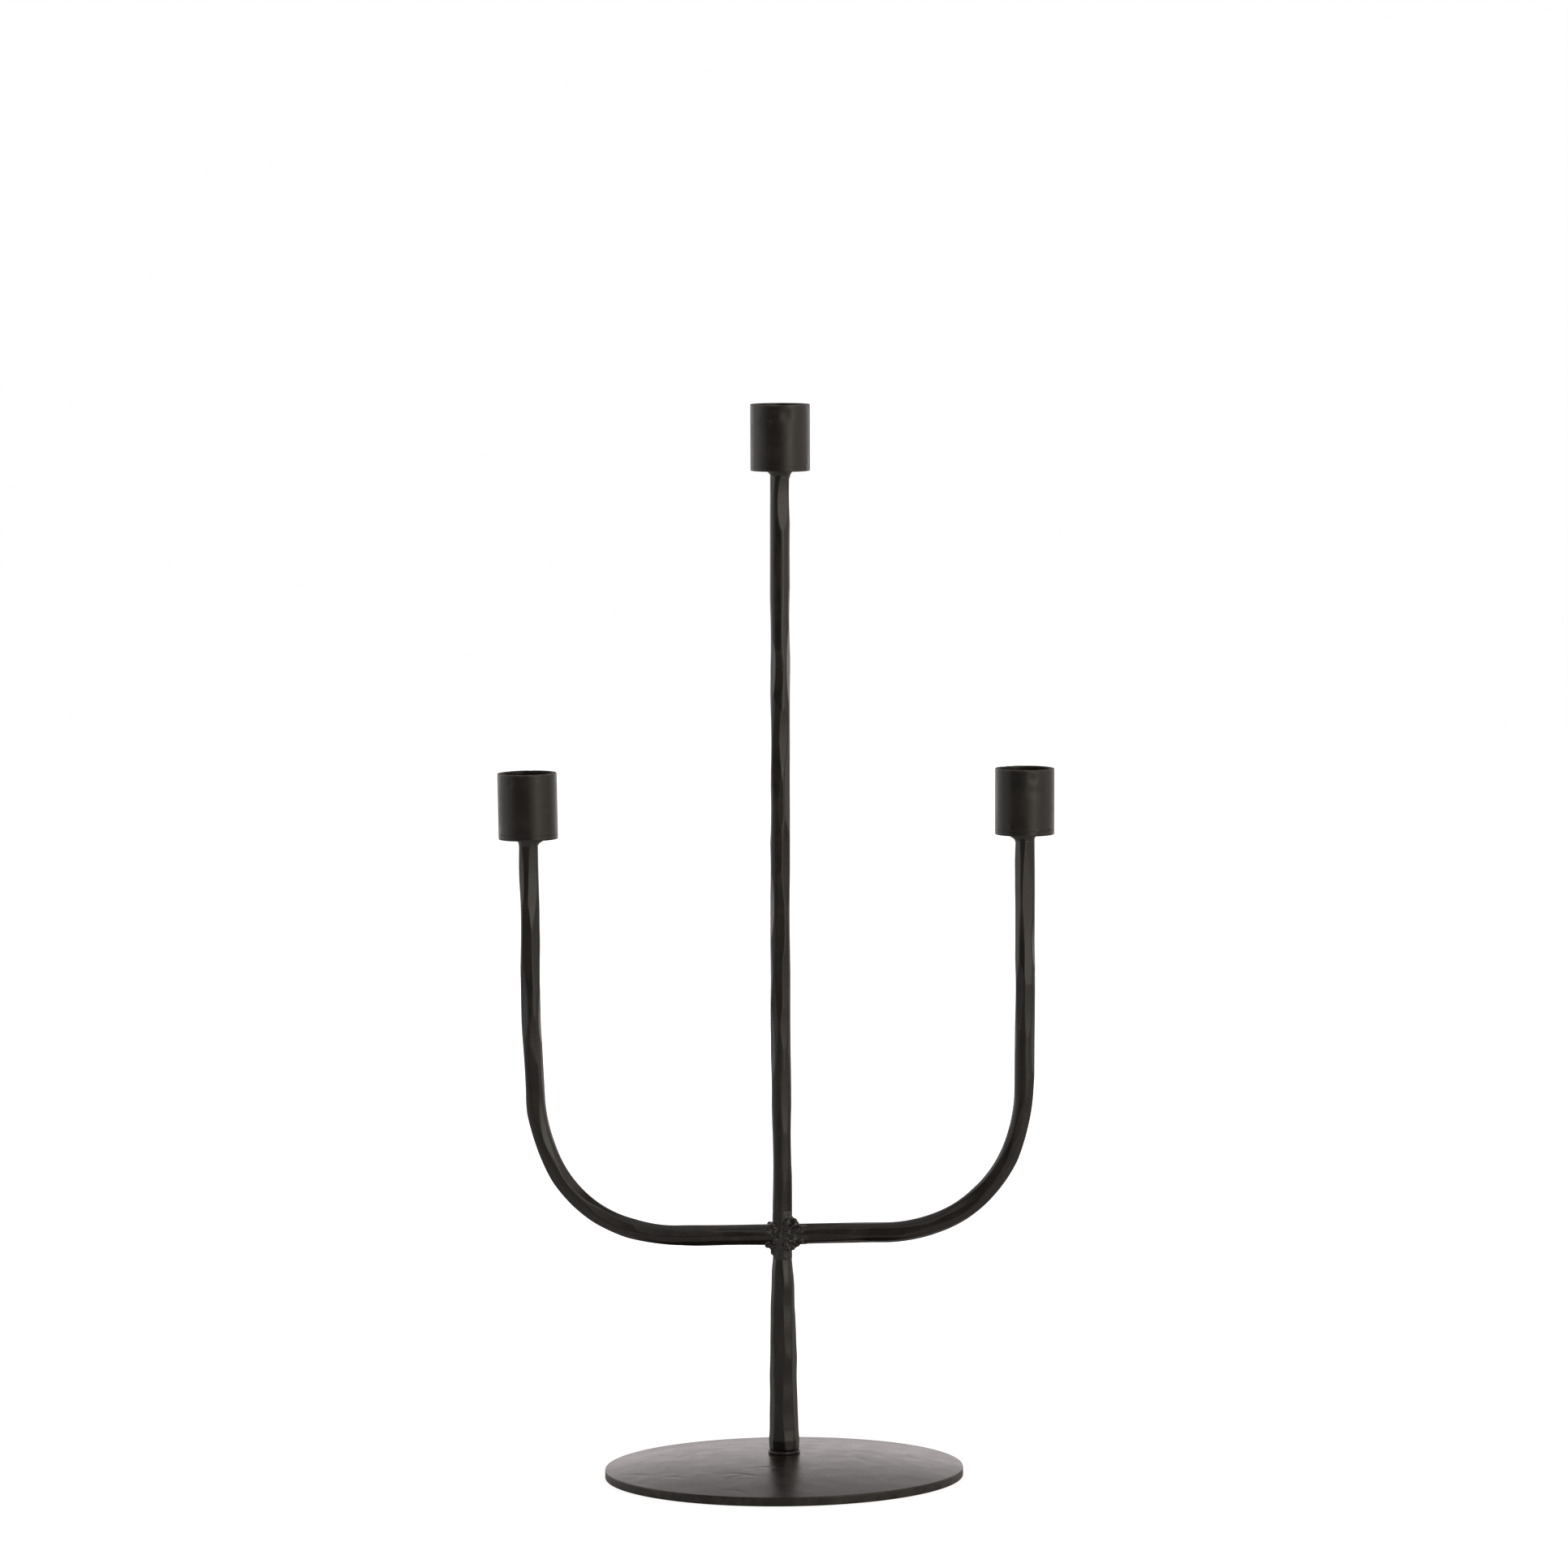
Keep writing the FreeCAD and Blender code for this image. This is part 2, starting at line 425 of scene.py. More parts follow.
def soft_minimum(values, softness):
    """Smallest value along the last axis, with its kinks rounded: -s log(sum(exp(-v / s)))."""
    least = values.min(axis=-1, keepdims=True)
    total = np.exp(-(values - least) / softness).sum(axis=-1)
    return least[..., 0] - softness * np.log(total)


def bumps(first, second, centres, sizes, heights):
    """Sum of round bumps: each is its height times exp(-(distance / size) squared)."""
    distance = (first[..., None] - centres[:, 0]) ** 2 + (second[..., None] - centres[:, 1]) ** 2
    return (heights * np.exp(-distance / sizes**2)).sum(axis=-1)


# ---------------------------------------------------------------- hammered bars


def strike(random, length, rows, spacing, turn_jitter, marks=()):
    """Random blows along a bar: where each is struck, the way it faces, its depth and its length.

    Marks are blows that are given one by one, as (share of the spacing it covers, distance along
    the bar, turn to the right of the front in degrees, depth as a share of the hardest blow).
    """
    where, facing = [], []
    for row in range(rows):
        count = max(2, round(length / spacing))
        shift = random.uniform(-0.35, 0.35, count + 2)
        where.append((np.arange(count + 2) - 0.5 + shift) * length / count)
        facing.append((row + 0.5) * 2 * np.pi / rows + random.normal(0, turn_jitter, count + 2))
    where, facing = np.concatenate(where), np.concatenate(facing)
    hard, size = random.uniform(0, 1, len(where)), random.uniform(0.6, 1.7, len(where))
    for share, distance, turn, depth in marks:
        where = np.append(where, distance)
        facing = np.append(facing, np.pi + math.radians(turn))
        hard, size = np.append(hard, depth), np.append(size, share)
    return where, facing, hard, size


def hammer(along, around, half_width, blows, depth, crown, spacing, softness=0.025 * MM):
    """Distance from the centre line of a forged bar to its skin, and how sharp the ridges are.

    A blow is a plane: its distance grows from the middle of the blow with the square of the
    distance along the bar. The skin is the soft minimum over all planes of that distance divided
    by the cosine of the angle from the plane's normal, and of the round stock that is left.
    """
    where, facing, hard, size = blows
    run = along[:, None] - where
    rise = crown * (2 * run / (spacing * size)) ** 2
    plane = half_width[:, None] + rise - crown * 0.3 - depth * (hard - 0.5)
    cosine = np.cos(around[:, None] - facing)
    cosine = np.where(cosine > 0.3, cosine, 0.3)
    reach = plane[:, None, :] / cosine[None]
    stock = np.broadcast_to((half_width * 1.06)[:, None, None], reach.shape[:2] + (1,))
    reach = np.concatenate((reach, stock), axis=-1)
    nearest = np.partition(reach, 1, axis=-1)
    ridge = np.exp(-(nearest[..., 1] - nearest[..., 0]) / (0.05 * MM))
    return soft_minimum(reach, softness), ridge


def wander(random, along, size):
    """Slow sideways drift of a bar in two directions: three sines that fade out at both ends."""
    t = (along - along[0]) / (along[-1] - along[0])
    drift = np.zeros((len(along), 2))
    for waves in (1.5, 3.2, 5.7):
        phase = random.uniform(0, 2 * np.pi, 2)
        drift += np.sin(waves * 2 * np.pi * t[:, None] + phase) * size / math.sqrt(waves)
    return drift * np.minimum(1, 8 * np.minimum(t, 1 - t))[:, None]


def forge(
    name,
    centre,
    tangent,
    along,
    half_width,
    settings,
    seed,
    marks=(),
    spacing=1.0,
    jitter=0.26,
    columns=72,
):
    """Hammered skin carried along a path in the plane of the arms.

    Each point is the centre line plus the hammered radius in the direction round the tangent;
    angle zero faces the back. The spacing is a share of the bar's own, and the jitter is how far
    in radians a blow turns from its row.
    """
    random = np.random.default_rng(seed)
    gap = settings.blow_spacing * spacing
    blows = strike(random, along[-1], settings.facet_rows, gap, jitter, marks)
    around = ring_angles(columns)
    radius, ridge = hammer(
        along, around, half_width, blows, settings.blow_depth, settings.crown, gap
    )
    side = np.cross(tangent, BACK)
    drift = wander(random, along, settings.wander)
    middle = centre + drift[:, :1] * BACK + drift[:, 1:] * side
    outward = np.cos(around)[None, :, None] * BACK + np.sin(around)[None, :, None] * side[:, None]
    grid = middle[:, None] + radius[..., None] * outward
    mesh = skin(name, grid, poles=(centre[0], centre[-1]))
    add_mask(mesh, "rubbed", ridge)
    return mesh


def cup_axis(side):
    """Direction of a cup and the middle of its underside, from the bore that takes the candle."""
    bore = MOUNTS["candle_bore_" + side]
    axis = np.array(bore["axis"], float)
    half = bore["dims"]["length_mm"] / 2 * MM
    settings = bpy.context.scene.candelabra_cups
    return axis, np.array(bore["pos_m"], float) - axis * (half + settings.deburr + settings.floor)


def post_path():
    """Straight up from the collar to the arms."""
    low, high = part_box("lower_post")
    height = np.linspace(low.z, high.z, 260)
    centre = np.zeros((len(height), 3))
    centre[:, 2] = height
    return centre, np.broadcast_to(UP, centre.shape), height - height[0]


def stem_path(bow):
    """From the neck of the post to the middle cup, with a slight sine-shaped bow."""
    start = np.array((0.0, 0.0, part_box("lower_post")[1].z))
    end = cup_axis("middle")[1]
    t = np.linspace(0, 1, 760)
    centre = start + t[:, None] * (end - start)
    centre[:, 0] -= bow * np.sin(np.pi * t)
    tangent = np.gradient(centre, axis=0)
    tangent /= np.linalg.norm(tangent, axis=1, keepdims=True)
    return centre, tangent, t * np.linalg.norm(end - start)


def arm_path(side, bend_radius, root, pushes):
    """Level run, arc and straight upright, joined so that each starts along the last one's end.

    The upright's direction and top come from the cup; the arc turns from level to that direction.
    Each push is (distance along the arm, reach, shift outwards), and shifts the line by the bell
    shift times exp(-(distance / reach) squared), as bending by hand does.
    """
    axis, tip = cup_axis(side)
    sign = math.copysign(1.0, tip[0])
    lean = math.asin(abs(axis[0]))
    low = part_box("arm_" + side)[0].z
    arm_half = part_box("arm_" + side)[1].y
    level = low + arm_half
    centre_height = level + bend_radius
    foot_height = centre_height - bend_radius * math.sin(lean)
    upright = (tip[2] - foot_height) / math.cos(lean)
    foot = abs(tip[0]) - upright * math.sin(lean)
    bend_start = foot - bend_radius * math.cos(lean)
    run = bend_start - root
    turn = math.pi / 2 - lean
    arc = bend_radius * turn
    total = run + arc + upright
    along = np.linspace(0, total, 600)
    swept = np.clip((along - run) / bend_radius, 0, turn)
    rising = np.clip(along - run - arc, 0, None)
    x = root + np.minimum(along, run) + bend_radius * np.sin(swept) + rising * math.sin(lean)
    z = level + bend_radius * (1 - np.cos(swept)) + rising * math.cos(lean)
    shift = sum(size * np.exp(-(((along - spot) / reach) ** 2)) for spot, reach, size in pushes)
    x, z = x + shift * np.sin(swept), z - shift * np.cos(swept)
    centre = np.stack((sign * x, np.zeros_like(x), z), axis=1)
    tangent = np.stack((sign * np.cos(swept), np.zeros_like(x), np.sin(swept)), axis=1)
    return centre, tangent, along, swept / turn


# ---------------------------------------------------------------- node groups and materials


def group_sockets(group, kind, sockets):
    """Names the inputs or outputs of a node group, each as (name, type, default)."""
    for name, socket_type, value in sockets:
        socket = group.interface.new_socket(name=name, in_out=kind, socket_type=socket_type)
        if value is not None:
            socket.default_value = value


def start_group(name, inputs, outputs):
    """Empty shader node group with named sockets, and its two end nodes."""
    group = bpy.data.node_groups.new(name, "ShaderNodeTree")
    group_sockets(group, "INPUT", inputs)
    group_sockets(group, "OUTPUT", outputs)
    return group, group.nodes.new("NodeGroupInput"), group.nodes.new("NodeGroupOutput")


def noise(tree, vector, scale, detail=3.0, roughness=0.5):
    """Noise pattern with its scale in features to the metre."""
    node = tree.nodes.new("ShaderNodeTexNoise")
    node.inputs["Scale"].default_value = scale
    node.inputs["Detail"].default_value = detail
    node.inputs["Roughness"].default_value = roughness
    tree.links.new(vector, node.inputs["Vector"])
    return node.outputs["Fac"]


def remap(tree, value, low, high, to_low=0.0, to_high=1.0):
    """Spreads a range of values evenly over another one, and stops at its ends."""
    node = tree.nodes.new("ShaderNodeMapRange")
    node.inputs["From Min"].default_value = low
    node.inputs["From Max"].default_value = high
    node.inputs["To Min"].default_value = to_low
    node.inputs["To Max"].default_value = to_high
    tree.links.new(value, node.inputs["Value"])
    return node.outputs["Result"]


def combine(tree, operation, first, second):
    """Maths node on two values, each a socket or a number."""
    node = tree.nodes.new("ShaderNodeMath")
    node.operation = operation
    for socket, value in zip(node.inputs, (first, second)):
        if isinstance(value, (int, float)):
            socket.default_value = value
        else:
            tree.links.new(value, socket)
    return node.outputs["Value"]


def forge_scale_group():
    """Skin of forged and blackened iron: broad cloudy tone, fine grain and scattered pits."""
    group, source, sink = start_group(
        "Forge scale",
        (
            ("Vector", "NodeSocketVector", None),
            ("Cloud", "NodeSocketFloat", 0.5),
            ("Grain", "NodeSocketFloat", 0.5),
            ("Pits", "NodeSocketFloat", 0.5),
        ),
        (
            ("Tone", "NodeSocketFloat", None),
            ("Roughness", "NodeSocketFloat", None),
            ("Height", "NodeSocketFloat", None),
        ),
    )
    vector = source.outputs["Vector"]
    cloud = remap(group, noise(group, vector, 90.0, 4.0, 0.6), 0.35, 0.65, -1.0, 1.0)
    grain = remap(group, noise(group, vector, 1400.0, 3.0, 0.6), 0.3, 0.7, -1.0, 1.0)
    pits = remap(group, noise(group, vector, 520.0, 2.0, 0.5), 0.68, 0.8, 0.0, 1.0)
    cloudy = combine(group, "MULTIPLY", cloud, source.outputs["Cloud"])
    grainy = combine(group, "MULTIPLY", grain, source.outputs["Grain"])
    pitted = combine(group, "MULTIPLY", pits, source.outputs["Pits"])
    group.links.new(cloudy, sink.inputs["Tone"])
    rough = combine(group, "ADD", combine(group, "MULTIPLY", cloudy, 0.6), pitted)
    group.links.new(rough, sink.inputs["Roughness"])
    height = combine(group, "SUBTRACT", grainy, combine(group, "MULTIPLY", pitted, 2.0))
    group.links.new(height, sink.inputs["Height"])
    return group


def rubbed_edge_group():
    """Breaks a mask of ridges and edges into patches, as handling wears them."""
    group, source, sink = start_group(
        "Rubbed edge",
        (
            ("Vector", "NodeSocketVector", None),
            ("Mask", "NodeSocketFloat", 0.0),
            ("Amount", "NodeSocketFloat", 0.5),
        ),
        (("Wear", "NodeSocketFloat", None),),
    )
    patches = remap(group, noise(group, source.outputs["Vector"], 160.0, 4.0, 0.65), 0.42, 0.62)
    worn = combine(group, "MULTIPLY", source.outputs["Mask"], patches)
    worn = combine(group, "MULTIPLY", worn, source.outputs["Amount"])
    group.links.new(worn, sink.inputs["Wear"])
    return group


def weld_ripple_group():
    """Rough skin of a hand-laid weld: beads, spatter and slag pits."""
    group, source, sink = start_group(
        "Weld ripple",
        (
            ("Vector", "NodeSocketVector", None),
            ("Bead", "NodeSocketFloat", 0.5),
            ("Spatter", "NodeSocketFloat", 0.5),
        ),
        (("Tone", "NodeSocketFloat", None), ("Height", "NodeSocketFloat", None)),
    )
    vector = source.outputs["Vector"]
    bead = remap(group, noise(group, vector, 700.0, 2.0, 0.5), 0.3, 0.7, -1.0, 1.0)
    cells = group.nodes.new("ShaderNodeTexVoronoi")
    cells.inputs["Scale"].default_value = 900.0
    group.links.new(vector, cells.inputs["Vector"])
    drops = remap(group, cells.outputs["Distance"], 0.0, 0.6, 1.0, 0.0)
    height = combine(
        group,
        "ADD",
        combine(group, "MULTIPLY", bead, source.outputs["Bead"]),
        combine(group, "MULTIPLY", drops, source.outputs["Spatter"]),
    )
    group.links.new(height, sink.inputs["Height"])
    group.links.new(combine(group, "MULTIPLY", bead, 0.5), sink.inputs["Tone"])
    return group


def floor_glow_group():
    """White floor that is a little dimmer near the object, so that its shadow shows there."""
    group, source, sink = start_group(
        "Floor glow",
        (
            ("Vector", "NodeSocketVector", None),
            ("Near", "NodeSocketFloat", 0.8),
            ("Far", "NodeSocketFloat", 1.0),
        ),
        (("Glow", "NodeSocketFloat", None),),
    )
    length = group.nodes.new("ShaderNodeVectorMath")
    length.operation = "LENGTH"
    group.links.new(source.outputs["Vector"], length.inputs[0])
    share = remap(group, length.outputs["Value"], 0.1, 0.45)
    span = combine(group, "SUBTRACT", source.outputs["Far"], source.outputs["Near"])
    added = combine(group, "MULTIPLY", share, span)
    group.links.new(combine(group, "ADD", added, source.outputs["Near"]), sink.inputs["Glow"])
    return group


def shared_group(name, builder):
    """The node group of that name, built the first time it is asked for."""
    return bpy.data.node_groups.get(name) or builder()


def use_group(tree, name, builder, **values):
    """Places a shared group in a material and sets its own values."""
    node = tree.nodes.new("ShaderNodeGroup")
    node.node_tree = shared_group(name, builder)
    for socket, value in values.items():
        node.inputs[socket].default_value = value
    coordinates = tree.nodes.new("ShaderNodeTexCoord")
    tree.links.new(coordinates.outputs["Object"], node.inputs["Vector"])
    return node


def start_material(name, roughness, specular):
    """New material with its node tree and its Principled shader."""
    material = bpy.data.materials.new(name)
    material.use_nodes = True
    shader = material.node_tree.nodes["Principled BSDF"]
    shader.inputs["Roughness"].default_value = roughness
    shader.inputs["Specular IOR Level"].default_value = specular
    return material, material.node_tree, shader


def add_bump(tree, shader, height, distance):
    """Fine relief: the distance is how far a height of one stands out."""
    bump = tree.nodes.new("ShaderNodeBump")
    bump.inputs["Strength"].default_value = 1.0
    bump.inputs["Distance"].default_value = distance
    tree.links.new(height, bump.inputs["Height"])
    tree.links.new(bump.outputs["Normal"], shader.inputs["Normal"])


def blend_colours(tree, factor, first, second):
    """Mixes two colours, each a socket or three numbers."""
    node = tree.nodes.new("ShaderNodeMix")
    node.data_type = "RGBA"
    tree.links.new(factor, node.inputs["Factor"])
    for socket, value in ((node.inputs["A"], first), (node.inputs["B"], second)):
        if isinstance(value, bpy.types.NodeSocket):
            tree.links.new(value, socket)
        else:
            socket.default_value = (*value, 1.0)
    return node.outputs["Result"]


def black_iron(name, cloud, grain, pits, wear, bump, roughness=None, specular=0.8, dull=0.75):
    """Satin black on forged iron, cloudy and pitted, rubbed lighter on its ridges.

    Seen at a glancing angle it turns as rough as the dull value, as a waxed finish does.
    """
    finish = bpy.context.scene.candelabra_finish
    rough = finish.sheen if roughness is None else roughness
    material, tree, shader = start_material(name, rough, specular)
    scale = use_group(tree, "Forge scale", forge_scale_group, Cloud=cloud, Grain=grain, Pits=pits)
    edge = use_group(tree, "Rubbed edge", rubbed_edge_group, Amount=wear)
    mask = tree.nodes.new("ShaderNodeAttribute")
    mask.attribute_name = "rubbed"
    tree.links.new(mask.outputs["Fac"], edge.inputs["Mask"])
    dark = tuple(0.6 * c for c in finish.iron)
    light = tuple(1.5 * c for c in finish.iron)
    cloudy = blend_colours(tree, remap(tree, scale.outputs["Tone"], -0.5, 0.5), dark, light)
    colour = blend_colours(tree, edge.outputs["Wear"], cloudy, tuple(finish.rubbed))
    tree.links.new(colour, shader.inputs["Base Color"])
    spread = remap(tree, scale.outputs["Roughness"], -1.0, 1.0, rough - 0.14, rough + 0.14)
    facing = tree.nodes.new("ShaderNodeLayerWeight")
    glancing = remap(tree, facing.outputs["Facing"], 0.6, 0.95, 0.0, dull)
    tree.links.new(combine(tree, "MAXIMUM", spread, glancing), shader.inputs["Roughness"])
    add_bump(tree, shader, scale.outputs["Height"], bump)
    return material


def weld_iron():
    """Blackened weld, rougher than the bars and covered with small drops."""
    finish = bpy.context.scene.candelabra_finish
    material, tree, shader = start_material("blackened_weld", 0.26, 1.0)
    ripple = use_group(tree, "Weld ripple", weld_ripple_group, Bead=0.6, Spatter=0.4)
    dark = tuple(0.6 * c for c in finish.weld)
    light = tuple(1.8 * c for c in finish.weld)
    colour = blend_colours(tree, remap(tree, ripple.outputs["Tone"], -0.5, 0.5), dark, light)
    tree.links.new(colour, shader.inputs["Base Color"])
    add_bump(tree, shader, ripple.outputs["Height"], 0.06 * MM)
    return material


def zinc_plate():
    """Dull zinc plate with a fine grain."""
    finish = bpy.context.scene.candelabra_finish
    material, tree, shader = start_material("zinc_plate", 0.38, 0.5)
    shader.inputs["Metallic"].default_value = 1.0
    scale = use_group(tree, "Forge scale", forge_scale_group, Cloud=0.4, Grain=0.3, Pits=0.2)
    dark = tuple(0.7 * c for c in finish.zinc)
    tone = remap(tree, scale.outputs["Tone"], -0.5, 0.5)
    tree.links.new(blend_colours(tree, tone, dark, tuple(finish.zinc)), shader.inputs["Base Color"])
    add_bump(tree, shader, scale.outputs["Height"], 0.01 * MM)
    return material


def bar_iron():
    return bpy.data.materials.get("hammered_iron") or black_iron(
        "hammered_iron",
        cloud=0.5,
        grain=0.5,
        pits=0.6,
        wear=0.25,
        bump=0.01 * MM,
        roughness=0.25,
    )


def cup_iron():
    return bpy.data.materials.get("tube_iron") or black_iron(
        "tube_iron", cloud=0.55, grain=0.3, pits=0.45, wear=1.0, bump=0.008 * MM
    )


def base_iron():
    return bpy.data.materials.get("plate_iron") or black_iron(
        "plate_iron",
        cloud=0.25,
        grain=0.1,
        pits=0.1,
        wear=0.3,
        bump=0.0006 * MM,
        roughness=0.28,
        dull=0.28,
    )


def weld_material():
    return bpy.data.materials.get("blackened_weld") or weld_iron()


# ---------------------------------------------------------------- pieces


class CANDELABRA_OT_base(bpy.types.Operator):
    """Build the dished and hammered base plate"""

    bl_idname = "candelabra.base"
    bl_label = "Base plate"

    def execute(self, context):
        settings = context.scene.candelabra_base
        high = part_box("base_plate")[1]
        radius, top, seat = high.y, settings.thickness, settings.seat_radius
        rise = high.z - top
        hole, edge, chamfer = settings.hole_radius, settings.edge, 0.3 * MM
        land = radius - settings.land

        def dish(count, inner, outer, foot):
            """Shallow bowl: its height falls with the square of the way out from the seat."""
            r = np.linspace(inner, outer, count)
            fall = ((r - seat) / (outer - seat)).clip(0) ** 2
            return np.stack((r, foot + rise * (1 - fall)), axis=1)

        # The profile starts in the hole, runs out over the top and comes back underneath.
        upper = dish(170, hole + chamfer, radius - edge, top)
        profile = np.concatenate((
            [(hole, high.z - chamfer)],
            upper,
            rounded((radius, top), (radius - edge, top), (radius, 0), edge)[1:],
            stretch((radius, top - edge), (radius, edge), 4),
            rounded((radius, 0), (radius, top), (radius - edge, 0), edge),
            stretch((radius - edge, 0), (land, 0), 2),
            dish(60, hole, land, 0)[::-1],
            stretch((hole, rise), (hole, high.z - chamfer), 2),
        ))
        columns = 390
        angle = ring_angles(columns)
        random = np.random.default_rng(11)
        r = profile[:, :1] * np.ones(columns)
        z = profile[:, 1:] * np.ones(columns)
        x, y = r * np.cos(angle), r * np.sin(angle)
        upper_rows = slice(0, 1 + len(upper))
        dents = np.zeros_like(z)
        dents[upper_rows] = self.hammered(random, x[upper_rows], y[upper_rows], radius, settings)
        fade = np.clip((radius - r) / (4 * MM), 0, 1) * np.clip((r - 0.9 * seat) / seat, 0, 1)
        z = z + dents * fade
        # The rim is cut back by up to half a millimetre, unevenly, so that it isn't a true circle.
        outer = np.clip((r - 0.8 * radius) / (0.2 * radius), 0, 1)
        out_of_round = 0.5 + 0.3 * np.cos(angle)
        out_of_round += 0.12 * np.sin(3 * angle + 0.7) + 0.06 * np.sin(7 * angle)
        r = r - outer * 0.5 * MM * out_of_round
        grid = revolve(np.stack((r, z), axis=-1), columns, np.zeros(3), UP)
        mesh = skin("base_plate_skin", grid)
        rim = np.exp(-((profile[:, 0] - radius) / (0.5 * MM)) ** 2)
        add_mask(mesh, "rubbed", rim[:, None] * np.ones(columns))
        place("base_plate_skin", mesh, base_iron(), ("base_plate",))
        return {"FINISHED"}

    def hammered(self, random, x, y, radius, settings):
        """Height of a hammered plate above its smooth form.

        A blow leaves a bowl: its height grows with the square of the distance from the blow over
        twice the hammer's radius. The plate is the soft minimum over all the bowls, kept under a
        low ceiling so that the ridges between them stay blunt, plus the creases.
        """
        pitch = settings.dent_spacing
        line = np.arange(-radius, radius + pitch, pitch)
        spots = np.stack(np.meshgrid(line, line), axis=-1).reshape(-1, 2)
        spots = spots + random.uniform(-0.45, 0.45, spots.shape) * pitch
        deep = settings.dent_depth * random.uniform(0, 1, len(spots)) ** 2
        distance = (x[..., None] - spots[:, 0]) ** 2 + (y[..., None] - spots[:, 1]) ** 2
        bowls = distance / (2 * settings.hammer_radius) - deep
        height = soft_minimum(bowls, 0.006 * MM)
        return np.minimum(height - 0.02 * MM, 0.01 * MM) + self.creases(random, x, y, radius)

    def creases(self, random, x, y, radius):
        """Curved creases that the edge of the hammer leaves, most of them lying round the plate.

        A crease is its depth times exp(-(u / length) squared - (v / width) squared), where u runs
        along it and v across it, and v is bent by the square of u.
        """
        count = 40
        way = random.uniform(0, 2 * np.pi, count)
        out = radius * np.sqrt(random.uniform(0.08, 0.85, count))
        turn = way + np.pi / 2 + random.normal(0, 0.45, count)
        dx, dy = x[..., None] - out * np.cos(way), y[..., None] - out * np.sin(way)
        u = dx * np.cos(turn) + dy * np.sin(turn)
        v = dy * np.cos(turn) - dx * np.sin(turn) + u**2 / (random.uniform(12, 40, count) * MM)
        length, width = random.uniform(4, 10, count) * MM, random.uniform(1.1, 2.3, count) * MM
        depth = random.uniform(0.05, 0.15, count) * MM
        return -(depth * np.exp(-((u / length) ** 2) - (v / width) ** 2)).sum(axis=-1)


class CANDELABRA_OT_foot(bpy.types.Operator):
    """Build the collar under the post and plate the screw and washer"""

    bl_idname = "candelabra.foot"
    bl_label = "Foot collar and screw"

    def execute(self, context):
        low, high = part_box("foot_collar")
        outer, bottom, top = high.y, low.z, high.z
        hole = context.scene.candelabra_base.hole_radius
        edge = 0.35 * MM
        profile = np.concatenate((
            rounded((outer, bottom), (hole, bottom), (outer, top), edge, 4),
            rounded((outer, top), (outer, bottom), (hole, top), edge, 5),
            stretch((outer - edge, top), (hole, top), 3),
            rounded((hole, top), (outer, top), (hole, bottom), 0.1 * MM, 3),
            rounded((hole, bottom), (hole, top), (outer, bottom), 0.1 * MM, 3),
            stretch((hole, bottom), (outer - edge, bottom), 3),
        ))
        columns = 96
        angle = ring_angles(columns)
        # Each lip of the uneven edge is (direction, millimetres it stands out, angle it spans).
        lips = (
            (math.pi / 2 + 0.25, 0.9, 0.2),
            (-math.pi / 2, 0.35, 0.25),
            (math.pi, 0.2, 0.5),
            (2.4, 0.25, 0.1),
        )
        swell = 0.1 * np.sin(2 * angle + 0.5) + 0.06 * np.sin(9 * angle)
        for facing, reach, spread in lips:
            turn = np.angle(np.exp(1j * (angle - facing)))
            swell = swell + reach * np.exp(-((turn / spread) ** 2))
        share = ((profile[:, :1] - hole) / (outer - hole)).clip(0, 1)
        r = profile[:, :1] + share**3 * (swell - 0.1) * MM
        shape = np.stack((r, profile[:, 1:] * np.ones(columns)), axis=-1)
        mesh = skin("foot_collar_skin", revolve(shape, columns, np.zeros(3), UP))
        add_mask(mesh, "rubbed", share.clip(0, 1) * np.ones(columns))
        place("foot_collar_skin", mesh, bar_iron(), ("foot_collar",))
        zinc = zinc_plate()
        for name in ("base_screw", "base_washer"):
            piece = frame["nodes"][name]
            piece.data.materials.clear()
            piece.data.materials.append(zinc)
        return {"FINISHED"}


class CANDELABRA_OT_post(bpy.types.Operator):
    """Forge the tapered post"""

    bl_idname = "candelabra.post"
    bl_label = "Lower post"

    def execute(self, context):
        settings = context.scene.candelabra_bars
        centre, tangent, along = post_path()
        share = along / along[-1]
        # Widths in millimetres at shares of the height, from the collar up to the neck.
        stations = (0.0, 0.01, 0.05, 0.10, 0.27, 0.45, 0.60, 0.71, 0.80, 0.85, 0.93, 1.0)
        widths = (11.7, 12.3, 12.6, 12.0, 11.5, 11.4, 10.7, 10.0, 9.6, 9.2, 7.9, 7.8)
        half = np.interp(share, stations, widths) * MM / 2
        mesh = forge(
            "lower_post_skin",
            centre,
            tangent,
            along,
            half,
            settings,
            5,
            spacing=1.5,
            jitter=0.06,
            columns=88,
        )
        place("lower_post_skin", mesh, bar_iron(), ("lower_post",))
        return {"FINISHED"}


class CANDELABRA_OT_stem(bpy.types.Operator):
    """Forge the tall stem"""

    bl_idname = "candelabra.stem"
    bl_label = "Upper stem"

    def execute(self, context):
        settings = context.scene.candelabra_bars
        centre, tangent, along = stem_path(settings.bow)
        half = np.full(len(along), settings.width / 2)
        length = along[-1]
        marks = (
            (0.55, length - 14 * MM, 21, 1.3),
            (0.6, length - 86 * MM, -62, 1.2),
            (0.7, length - 118 * MM, 24, 1.1),
        )
        mesh = forge("upper_stem_skin", centre, tangent, along, half, settings, 24, marks)
        place("upper_stem_skin", mesh, bar_iron(), ("upper_stem",))
        return {"FINISHED"}


